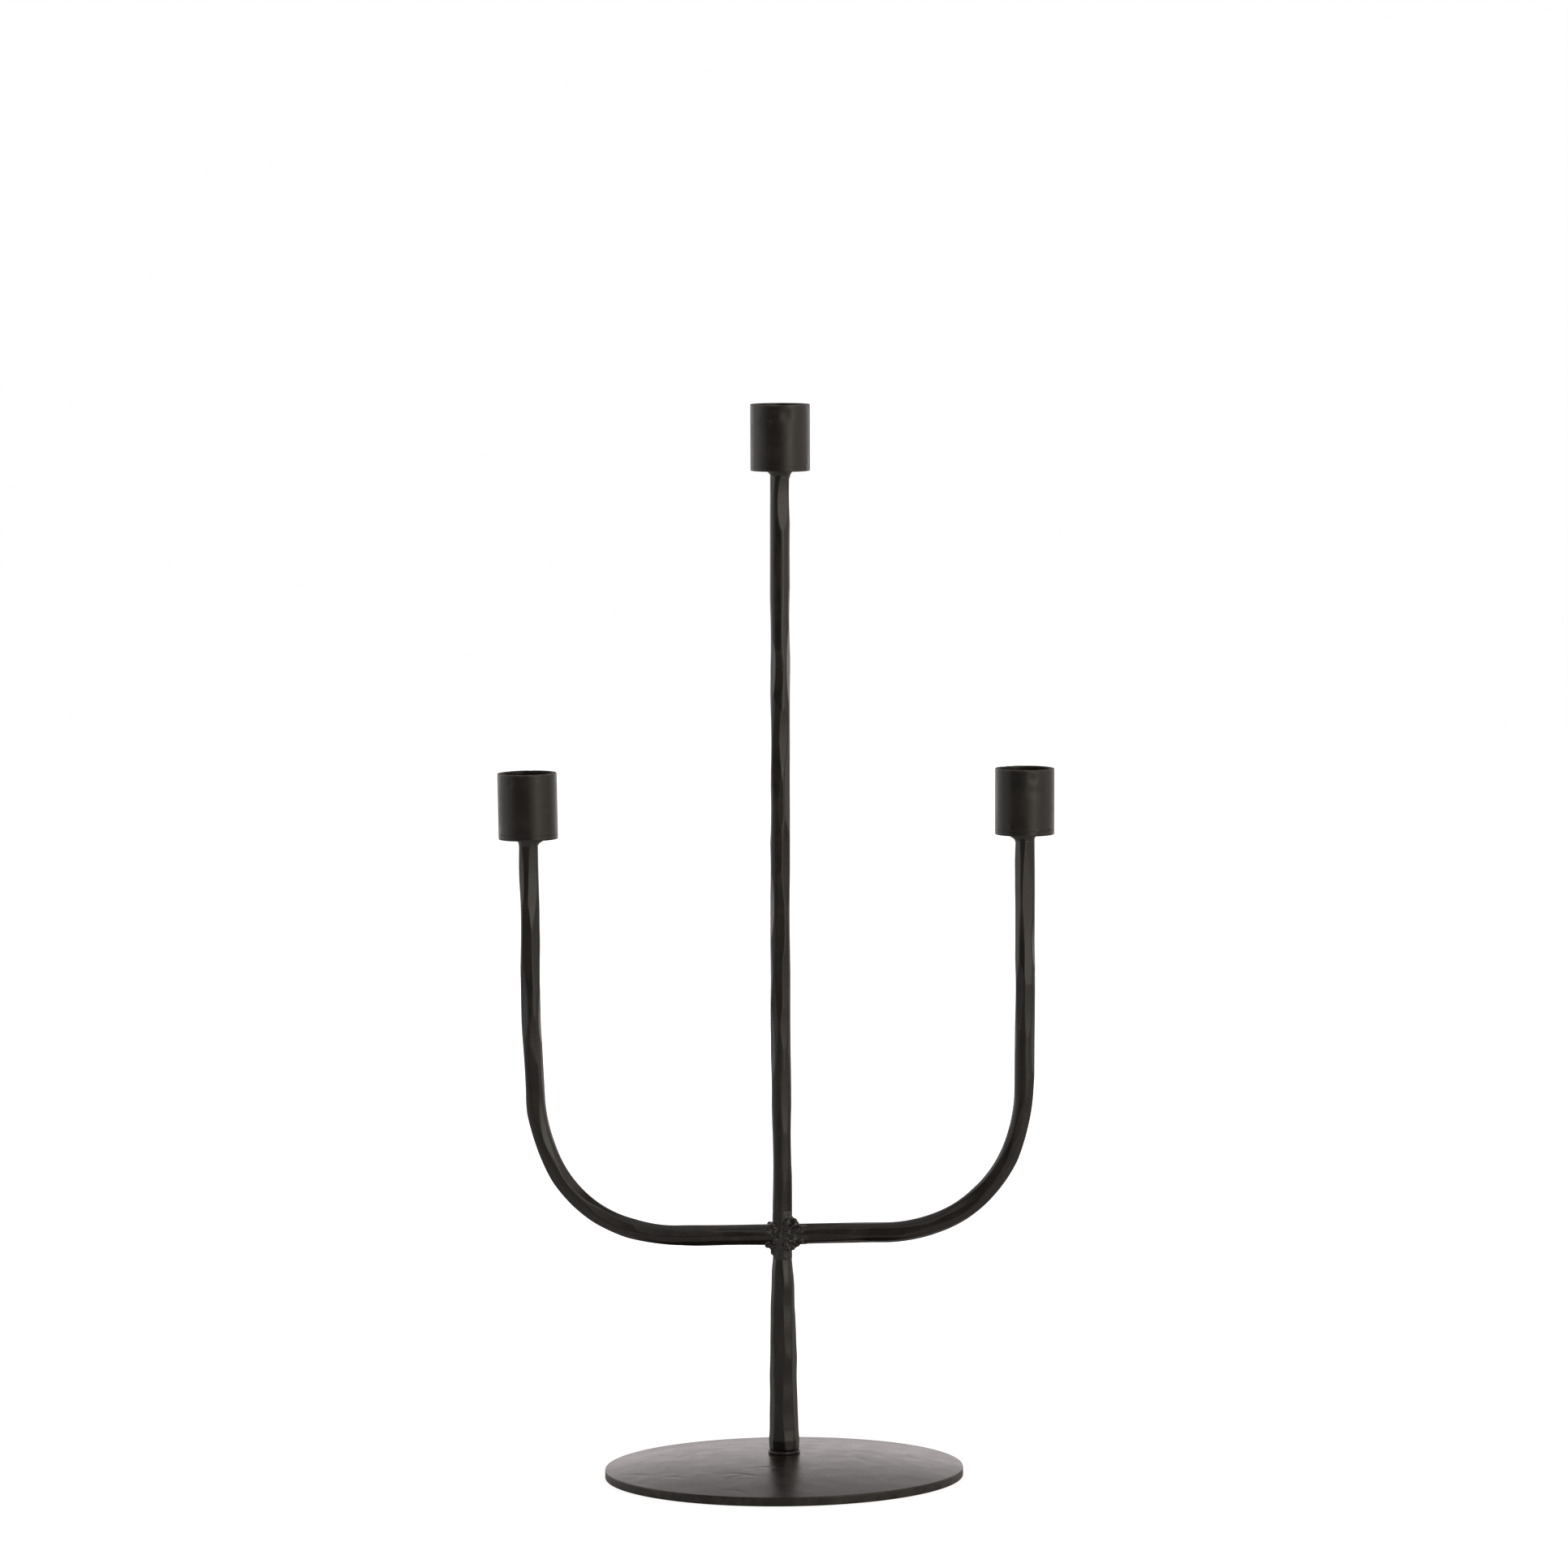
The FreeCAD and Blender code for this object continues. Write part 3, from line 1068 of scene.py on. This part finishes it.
class CANDELABRA_OT_arms(bpy.types.Operator):
    """Forge and bend the two arms"""

    bl_idname = "candelabra.arms"
    bl_label = "Arms"

    def execute(self, context):
        settings = context.scene.candelabra_bars
        # Seed, then one mark: millimetres from the tip, share of the spacing and turn in degrees.
        marked = {"left": (33, 20, 1.0, 21), "right": (47, 36, 1.6, 20)}
        # Pushes out of the true line, in millimetres.
        pushed = {
            "left": ((70, 18, 0.35), (124, 22, -0.95), (186, 34, 0.4)),
            "right": ((30, 30, -0.3), (75, 14, 0.4), (118, 18, -0.3), (190, 35, 0.35)),
        }
        for side, (seed, distance, share, turn) in marked.items():
            root = settings.width / 2
            pushes = np.array(pushed[side]) * MM
            centre, tangent, along, bent = arm_path(side, settings.bend_radius, root, pushes)
            half = (settings.level_width * (1 - bent) + settings.width * bent) / 2
            name = "arm_" + side
            marks = ((share, along[-1] - distance * MM, turn, 1.25),)
            mesh = forge(name + "_skin", centre, tangent, along, half, settings, seed, marks)
            place(name + "_skin", mesh, bar_iron(), (name,))
        return {"FINISHED"}


class CANDELABRA_OT_cross_weld(bpy.types.Operator):
    """Build up the weld at the cross"""

    bl_idname = "candelabra.cross_weld"
    bl_label = "Cross weld"

    def execute(self, context):
        bars = context.scene.candelabra_bars
        arm_low, arm_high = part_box("arm_right")
        centre = np.array((0.0, 0.0, arm_low.z + arm_high.y))
        random = np.random.default_rng(3)
        polar = np.linspace(0, np.pi, 182)[1:-1][::-1, None]
        around = ring_angles(300)[None]
        x = np.sin(polar) * np.cos(around)
        y = np.sin(polar) * np.sin(around)
        z = np.cos(polar) * np.ones_like(around)
        # Each corner between an arm and an upright is filled to its own depth.
        corners = np.radians((-45, 45, 135, 225))
        fills = np.array((3.6, 4.2, 1.5, 4.4)) * MM
        fill = np.interp(np.arctan2(z, x), corners, fills, period=2 * np.pi)
        fill = fill * (1 - 0.55 * np.abs(y))
        upright, level = bars.width / 2 + 0.1 * MM, bars.level_width / 2 + 0.05 * MM
        radius = self.blend(x, y, z, upright, level, fill)
        spots, sizes = self.beads(random, bars.width / 2)
        radius = np.stack((radius, self.drops(x, y, z, spots, sizes)), axis=-1)
        radius = -soft_minimum(-radius, 0.12 * MM)
        # The weld ends on each bar: the limit is a rounded box, a little less high than wide.
        stretched = np.abs(x) ** 3 + (np.abs(z) / 0.97) ** 3 + np.abs(0.9 * y) ** 3
        limit = 11.4 * MM / stretched ** (1 / 3)
        radius = self.even_out(soft_minimum(np.stack((radius, limit), axis=-1), 0.25 * MM), 4)
        lump = self.lumps(random, x, y, z, 360, (0.035, 0.09), (-0.11, 0.11))
        # A crease runs down the front, beside the bead to the right of the stem's middle.
        px, pz = radius * x, radius * z
        crease = np.exp(-(((px + 0.2 * MM) / (0.55 * MM)) ** 2) - (pz / (4.5 * MM)) ** 4) * (y < 0)
        radius = radius + lump - 0.5 * MM * crease
        grid = centre + radius[..., None] * np.stack((x, y, z), axis=-1)
        poles = (grid[0].mean(axis=0), grid[-1].mean(axis=0))
        mesh = skin("cross_weld_skin", grid, poles=poles)
        halves = ("cross_weld_left", "cross_weld_right")
        place("cross_weld_skin", mesh, weld_material(), halves)
        return {"FINISHED"}

    def beads(self, random, stem):
        """Centres and radii of the drops of weld, laid one after another along short lines.

        Each line is (start, end, count, radius) in millimetres from the middle of the cross.
        """
        front, back = -stem / MM - 0.1, stem / MM + 0.1
        lines = (
            ((1.9, front, -5.5), (2.3, front, 6.5), 12, 1.35),
            ((-2.9, front + 0.7, -4.6), (-3.3, front + 1.0, 4.6), 8, 1.0),
            ((4.6, front + 0.3, -3.8), (5.4, front + 0.2, 4.2), 7, 1.2),
            ((8.0, front + 0.9, -3.2), (8.2, front + 0.9, 3.6), 6, 1.1),
            ((-6.8, front + 0.9, -3.4), (-7.0, front + 0.9, 3.2), 6, 0.9),
            ((7.6, -1.8, 3.3), (3.6, -1.8, 7.3), 6, 1.15),
            ((7.2, 1.6, 3.2), (3.6, 1.6, 7.0), 6, 1.15),
            ((7.8, -1.8, -3.1), (3.4, -1.8, -6.8), 6, 1.1),
            ((7.6, 1.6, -3.2), (3.4, 1.6, -7.0), 6, 1.1),
            ((-7.0, -1.8, -3.4), (-2.9, -1.8, -7.9), 7, 1.15),
            ((-6.8, 1.6, -3.4), (-2.9, 1.6, -7.6), 6, 1.1),
            ((-6.0, -1.4, 3.4), (-3.2, -1.6, 4.8), 4, 0.95),
            ((-6.2, 1.4, 3.2), (-3.2, 1.6, 5.0), 4, 1.0),
            ((2.0, back, -5.0), (-2.0, back, 5.0), 11, 1.3),
            ((-2.2, back, -5.4), (2.4, back, 4.6), 11, 1.2),
            ((5.6, back - 0.4, -3.8), (5.2, back - 0.3, 4.0), 7, 1.2),
            ((-5.4, back - 0.4, -3.8), (-5.6, back - 0.3, 4.0), 7, 1.2),
        )
        spots, sizes = [], []
        for start, end, count, size in lines:
            t = np.linspace(0, 1, count)[:, None]
            spots.append((1 - t) * np.array(start) + t * np.array(end))
            sizes.append(np.full(count, size))
        spots, sizes = np.concatenate(spots), np.concatenate(sizes)
        spots = spots + random.normal(0, 0.28, spots.shape)
        return spots * MM, sizes * random.uniform(0.75, 1.2, len(sizes)) * MM

    def drops(self, x, y, z, spots, sizes):
        """Distance at which each direction leaves the furthest drop that it meets.

        Along a direction d a drop at c with radius s is left at d.c + sqrt((d.c)^2 - c.c + s^2).
        """
        along = np.stack((x, y, z), axis=-1) @ spots.T
        inside = along**2 - (spots**2).sum(axis=1) + sizes**2
        return np.where(inside > 0, along + np.sqrt(inside.clip(0)), 0).max(axis=-1)

    def even_out(self, radius, passes):
        """Rounds the drops: each pass takes half of a point and a quarter of each neighbour.

        It does so first round the grid, and then along it.
        """
        for _ in range(passes):
            radius = (np.roll(radius, 1, axis=1) + 2 * radius + np.roll(radius, -1, axis=1)) / 4
            padded = np.pad(radius, ((1, 1), (0, 0)), mode="edge")
            radius = (padded[:-2] + 2 * radius + padded[2:]) / 4
        return radius

    def blend(self, x, y, z, upright, level, fill):
        """Distance at which each direction leaves two crossing round bars that are blended.

        The blend is the smaller of the distances to the two bars, less the square of what is
        left of the fill, over four times the fill. Its zero is found by halving.
        """
        low, high = np.full_like(x, upright), np.full_like(x, 14 * MM)
        for _ in range(26):
            radius = (low + high) / 2
            first = radius * np.sqrt(x**2 + y**2) - upright
            second = radius * np.sqrt(z**2 + y**2) - level
            left = np.clip(fill - np.abs(first - second), 0, None)
            inside = np.minimum(first, second) - left**2 / (4 * fill) < 0
            low, high = np.where(inside, radius, low), np.where(inside, high, radius)
        return (low + high) / 2

    def lumps(self, random, x, y, z, count, sizes, heights):
        """Sum of round bumps in random directions, each with its own width and height."""
        spots = random.normal(size=(count, 3))
        spots /= np.linalg.norm(spots, axis=1, keepdims=True)
        size = random.uniform(*sizes, count)
        height = random.uniform(*heights, count) * MM
        cosine = np.stack((x, y, z), axis=-1) @ spots.T
        return (height * np.exp(-(2 - 2 * cosine) / size**2)).sum(axis=-1)


def cup_wobble(angle, height, random, settings, tube_height, knock):
    """How far the tube is pushed out or in: a slight oval, a few dents and burrs at the foot.

    The knock is one broad dent, as (degrees to the right of the front, height, size, depth).
    """
    oval = 0.06 * MM * np.cos(2 * angle + random.uniform(0, 6)) * np.ones_like(height)
    # Distances round the tube are measured on this radius, which lies inside its wall.
    middle = 12.0 * MM
    around = (angle % (2 * np.pi)) * middle
    count = 14
    way, up = random.uniform(0, 2 * np.pi, count), random.uniform(0.1, 1, count)
    spot = np.stack((way * middle, up * tube_height), 1)
    size = random.uniform(1.0, 3.0, count) * MM
    depth = -settings.dent_depth * random.uniform(0.1, 1, count) ** 2
    burrs = 5
    way, up = random.uniform(0, 2 * np.pi, burrs), random.uniform(0.4, 4, burrs)
    low = np.stack((way * middle, up * MM), 1)
    burr_size = random.uniform(0.5, 1.0, burrs) * MM
    burr = random.uniform(0.1, 0.3, burrs) * MM
    turn, knock_height, knock_size, knock_depth = knock
    at = np.array([[math.radians(270 + turn) * middle, knock_height]])
    struck = bumps(around, height, at, np.array([knock_size]), np.array([-knock_depth]))
    return (
        oval
        + struck
        + bumps(around, height, spot, size, depth)
        + bumps(around, height, low, burr_size, burr)
    )


class CANDELABRA_OT_cups(bpy.types.Operator):
    """Build the tubes and floors of the candle cups"""

    bl_idname = "candelabra.cups"
    bl_label = "Candle cups"

    def execute(self, context):
        settings = context.scene.candelabra_cups
        columns, chips = 160, 9
        angle = ring_angles(columns)
        # One knock for each cup, with its lengths in millimetres.
        knocks = {
            "left": (-34, 25, 1.2, 0.2),
            "middle": (11, 24.5, 2.8, 0.6),
            "right": (14, 25, 1.8, 0.25),
        }
        for number, side in enumerate(SIDES):
            axis, foot = cup_axis(side)
            knock = (knocks[side][0], *(np.array(knocks[side][1:]) * MM))
            bore = MOUNTS["candle_bore_" + side]["dims"]
            inner = bore["r_mm"] * MM
            outer = inner + settings.wall
            bottom = settings.floor
            top = bottom + bore["length_mm"] * MM + 2 * settings.deburr
            lip, round_foot, tight = settings.lip, settings.foot_rounding, 0.03 * MM
            tube = np.concatenate((
                rounded((outer, bottom), (inner, bottom), (outer, top), tight, 3),
                stretch((outer, bottom + tight), (outer, top - lip), 46),
                rounded((outer, top), (outer, bottom), (inner, top), lip),
                rounded((inner, top), (outer, top), (inner, bottom), lip),
                stretch((inner, top - lip), (inner, bottom + tight), 30),
                rounded((inner, bottom), (inner, top), (outer, bottom), tight, 3),
            ))
            disc = np.concatenate((
                stretch((0, 0), (outer - round_foot, 0), 8),
                rounded((outer, 0), (0, 0), (outer, bottom), round_foot),
                stretch((outer, round_foot), (outer, bottom - tight), 3),
                rounded((outer, bottom), (outer, 0), (0, bottom), tight, 3),
                stretch((outer - tight, bottom), (0, bottom), 8),
            ))
            for part, profile in (("tube", tube), ("floor", disc)):
                random = np.random.default_rng(60 + number)
                push = cup_wobble(angle, profile[:, 1:], random, settings, top, knock)
                near_wall = np.clip((profile[:, :1] - 0.8 * inner) / (0.2 * inner), 0, 1)
                radius = profile[:, :1] + push * near_wall
                # Small nicks in the rim, and rubbed chips that lie closer together near the rim.
                nick = random.uniform(0, 2 * np.pi, 6)
                rim = np.exp(-(((profile[:, 1:] - top) / (0.5 * MM)) ** 2))
                turn = np.angle(np.exp(1j * (angle[:, None] - nick)))
                deep = random.uniform(0.02, 0.16, 6) * MM
                notches = (np.exp(-((turn / 0.07) ** 2)) * deep).sum(axis=1)
                height = profile[:, 1:] - rim * notches
                shape = np.stack((radius, height * np.ones(columns)), axis=-1)
                grid = revolve(shape, columns, foot, axis)
                name = "cup_" + part + "_" + side
                poles = None if part == "tube" else (foot, foot + axis * bottom)
                mesh = skin(name + "_skin", grid, poles)
                foot_edge = np.exp(-((profile[:, 1:] / (0.5 * MM)) ** 2))
                edge = rim + 0.4 * foot_edge * (profile[:, :1] > 0.9 * inner)
                way, up = random.uniform(0, 2 * np.pi, chips), random.uniform(0, 1, chips)
                spots = np.stack((way * outer, up**0.4 * top), 1)
                size, strength = np.full(chips, 0.4 * MM), np.full(chips, 1.2)
                chipped = bumps(angle * outer, profile[:, 1:], spots, size, strength)
                add_mask(mesh, "rubbed", edge + chipped * near_wall)
                place(name + "_skin", mesh, cup_iron(), (name,))
        return {"FINISHED"}


class CANDELABRA_OT_cup_welds(bpy.types.Operator):
    """Build up the welds between the bars and the cups"""

    bl_idname = "candelabra.cup_welds"
    bl_label = "Cup welds"

    def execute(self, context):
        settings = context.scene.candelabra_cups
        bar = context.scene.candelabra_bars.width / 2
        columns = 120
        angle = ring_angles(columns)
        # Angle of the biggest lump, its height and how far the weld spreads elsewhere.
        lumps = {
            "left": (0.2, 1.9, 0.5),
            "middle": (2.2, 0.3, 1.0),
            "right": (math.pi - 0.2, 1.7, 0.55),
        }
        for number, side in enumerate(SIDES):
            random = np.random.default_rng(80 + number)
            axis, foot = cup_axis(side)
            facing, big, spread = lumps[side]
            t = np.linspace(0, 1, 40)[:, None]
            flare = (settings.weld_radius - bar) * spread
            radius = bar + 0.12 * MM + flare * t**2.2 * np.ones(columns)
            turn = np.angle(np.exp(1j * (angle - facing)))
            rise = np.exp(-((turn / 0.55) ** 2) - ((t - 0.72) / 0.33) ** 2)
            radius = radius + big * MM * rise
            count = 26
            spot = np.stack((random.uniform(0, 2 * np.pi, count), random.uniform(0.1, 1, count)), 1)
            size = random.uniform(0.12, 0.3, count)
            depth = random.uniform(-0.2, 0.4, count) * MM
            rough = bumps(angle * np.ones_like(t), t * np.ones(columns), spot, size, depth)
            radius = radius + rough * np.sqrt(t)
            height = -settings.weld_height * (1 - t) * np.ones(columns)
            grid = revolve(np.stack((radius, height), axis=-1), columns, foot, axis)
            poles = (foot - axis * settings.weld_height, foot)
            name = "cup_weld_" + side
            mesh = skin(name + "_skin", grid, poles)
            place(name + "_skin", mesh, weld_material(), (name,))
        return {"FINISHED"}


# ---------------------------------------------------------------- studio


def soft_light(name, place_at, towards, width, height, radiance, colour):
    """Rectangular light of a given radiance that the camera doesn't see.

    Its power is the radiance times pi times its area.
    """
    lamp = bpy.data.lights.new(name, "AREA")
    lamp.shape = "RECTANGLE"
    lamp.size, lamp.size_y = width, height
    lamp.energy = radiance * math.pi * width * height
    lamp.color = colour
    light = bpy.data.objects.new(name, lamp)
    light.location = place_at
    light.rotation_euler = (Vector(towards) - Vector(place_at)).to_track_quat("-Z", "Y").to_euler()
    light.visible_camera = False
    bpy.context.scene.collection.objects.link(light)


class CANDELABRA_OT_stage(bpy.types.Operator):
    """Set up the floor, the lights and the camera"""

    bl_idname = "candelabra.stage"
    bl_label = "Studio"

    def execute(self, context):
        settings = context.scene.candelabra_studio
        self.add_floor()
        self.add_world()
        self.add_lights(settings)
        self.add_camera(context, settings)
        context.scene.view_settings.view_transform = "Standard"
        return {"FINISHED"}

    def add_floor(self):
        """Flat disc: points at a radius and an angle, all at the height of the table."""
        rings, thickness = 12, 4 * MM
        radius = np.linspace(0.05, 4.0, rings)
        height = np.repeat((-thickness, 0.0), rings)
        profile = np.stack((np.concatenate((radius, radius[::-1])), height), axis=1)
        grid = revolve(profile, 64, np.zeros(3), UP)
        mesh = skin("pale_floor", grid, poles=((0, 0, -thickness), (0, 0, 0)))
        floor = bpy.data.objects.new("pale_floor", mesh)
        bpy.context.scene.collection.objects.link(floor)
        material, tree, shader = start_material("pale_floor", 0.9, 0.1)
        shader.inputs["Base Color"].default_value = (0.75, 0.74, 0.73, 1.0)
        shader.inputs["Emission Color"].default_value = (1.0, 1.0, 1.0, 1.0)
        glow = use_group(tree, "Floor glow", floor_glow_group, Near=0.78, Far=1.05)
        seen = tree.nodes.new("ShaderNodeLightPath")
        strength = combine(tree, "MULTIPLY", glow.outputs["Glow"], seen.outputs["Is Camera Ray"])
        tree.links.new(strength, shader.inputs["Emission Strength"])
        mesh.materials.append(material)

    def add_world(self):
        """Dim room for the light that falls on the object, white where the camera looks past it."""
        world = bpy.data.worlds.new("pale_room")
        world.use_nodes = True
        tree = world.node_tree
        room = tree.nodes["Background"]
        room.inputs["Color"].default_value = (0.1, 0.093, 0.086, 1.0)
        white = tree.nodes.new("ShaderNodeBackground")
        white.inputs["Color"].default_value = (1.0, 1.0, 1.0, 1.0)
        seen = tree.nodes.new("ShaderNodeLightPath")
        mix = tree.nodes.new("ShaderNodeMixShader")
        tree.links.new(seen.outputs["Is Camera Ray"], mix.inputs["Fac"])
        tree.links.new(room.outputs["Background"], mix.inputs[1])
        tree.links.new(white.outputs["Background"], mix.inputs[2])
        tree.links.new(mix.outputs["Shader"], tree.nodes["World Output"].inputs["Surface"])
        bpy.context.scene.world = world

    def add_lights(self, settings):
        """Panels round the object, each with the two angles it spans, seen from above.

        Zero degrees is towards the camera and +90 to its right. The panels of the key light
        overlap, so that it fades towards its sides. Each panel is (name, first angle, last angle,
        distance, foot, top, radiance, colour).
        """
        wall = settings.brightness
        panels = (
            ("back_foot", 132, 228, 2.0, 0.0, 0.3, 1.15, (1.0, 0.92, 0.94)),
            ("back_low", 132, 228, 2.0, 0.3, 0.65, 0.95, (1.0, 0.92, 0.94)),
            ("back_high", 132, 228, 2.0, 0.65, 2.2, 0.46, (1.0, 0.92, 0.94)),
            ("right_wall", 60, 132, 2.0, 0.0, 1.8, 0.52, (1.0, 0.9, 0.88)),
            ("left_wall", -132, -82, 2.0, 0.0, 1.8, 0.6, (1.0, 0.98, 0.97)),
            ("left_edge", -82, -58, 2.0, 0.0, 1.8, 0.28, (1.0, 0.97, 0.95)),
            ("key_wide", 12, 62, 1.9, 0.0, 1.6, 0.36, (1.0, 0.96, 0.86)),
            ("key_middle", 20, 58, 1.85, 0.0, 1.6, 0.3, (1.0, 0.95, 0.82)),
            ("key_core", 32, 46, 1.8, 0.0, 1.6, 0.65, (1.0, 0.94, 0.78)),
        )
        for name, first, last, distance, foot, top, radiance, colour in panels:
            facing = math.radians((first + last) / 2)
            width = 2 * distance * math.tan(math.radians(last - first) / 2)
            height = (foot + top) / 2
            stand = (distance * math.sin(facing), -distance * math.cos(facing), height)
            soft_light(name, stand, (0.0, 0.0, height), width, top - foot, radiance * wall, colour)
        overhead = (
            ("front_top", (0.0, -1.4, 1.7), (0.0, 0.0, 0.2), 2.2, 1.3, 0.36, (1.0, 0.97, 0.93)),
            ("ceiling", (0.0, 0.3, 2.3), (0.0, 0.3, 0.0), 2.4, 1.8, 0.3, (1.0, 0.97, 0.95)),
        )
        for name, stand, towards, width, depth, radiance, colour in overhead:
            soft_light(name, stand, towards, width, depth, radiance * wall, colour)

    def add_camera(self, context, settings):
        lens = bpy.data.cameras.new("camera")
        lens.lens = settings.lens
        lens.sensor_width = 36.0
        lens.clip_start, lens.clip_end = 0.05, 60.0
        camera = bpy.data.objects.new("camera", lens)
        stand = Vector((settings.aside, -settings.distance, settings.height))
        look = Matrix.Rotation(math.pi / 2 - settings.tilt, 4, "X")
        roll = Matrix.Rotation(-settings.roll, 4, "Z")
        camera.matrix_world = Matrix.Translation(stand) @ look @ roll
        context.scene.collection.objects.link(camera)
        context.scene.camera = camera


# ---------------------------------------------------------------- add-on


class CANDELABRA_PT_panel(bpy.types.Panel):
    """Lists the pieces of the candelabra"""

    bl_idname = "CANDELABRA_PT_panel"
    bl_label = "Candelabra"
    bl_space_type = "VIEW_3D"
    bl_region_type = "UI"
    bl_category = "Candelabra"

    def draw(self, context):
        for piece in PIECES:
            self.layout.operator(piece.bl_idname)


SETTINGS = {
    "candelabra_bars": CandelabraBars,
    "candelabra_cups": CandelabraCups,
    "candelabra_base": CandelabraBase,
    "candelabra_finish": CandelabraFinish,
    "candelabra_studio": CandelabraStudio,
}
PIECES = (
    CANDELABRA_OT_base,
    CANDELABRA_OT_foot,
    CANDELABRA_OT_post,
    CANDELABRA_OT_stem,
    CANDELABRA_OT_arms,
    CANDELABRA_OT_cross_weld,
    CANDELABRA_OT_cups,
    CANDELABRA_OT_cup_welds,
    CANDELABRA_OT_stage,
)


def register():
    for name, group in SETTINGS.items():
        bpy.utils.register_class(group)
        setattr(bpy.types.Scene, name, PointerProperty(type=group))
    for piece in (*PIECES, CANDELABRA_PT_panel):
        bpy.utils.register_class(piece)


def unregister():
    for piece in (*PIECES, CANDELABRA_PT_panel):
        bpy.utils.unregister_class(piece)
    for name, group in SETTINGS.items():
        delattr(bpy.types.Scene, name)
        bpy.utils.unregister_class(group)


def main():
    register()
    for piece in PIECES:
        _, action = piece.bl_idname.split(".")
        getattr(bpy.ops.candelabra, action)()


if __name__ == "__main__":
    main()
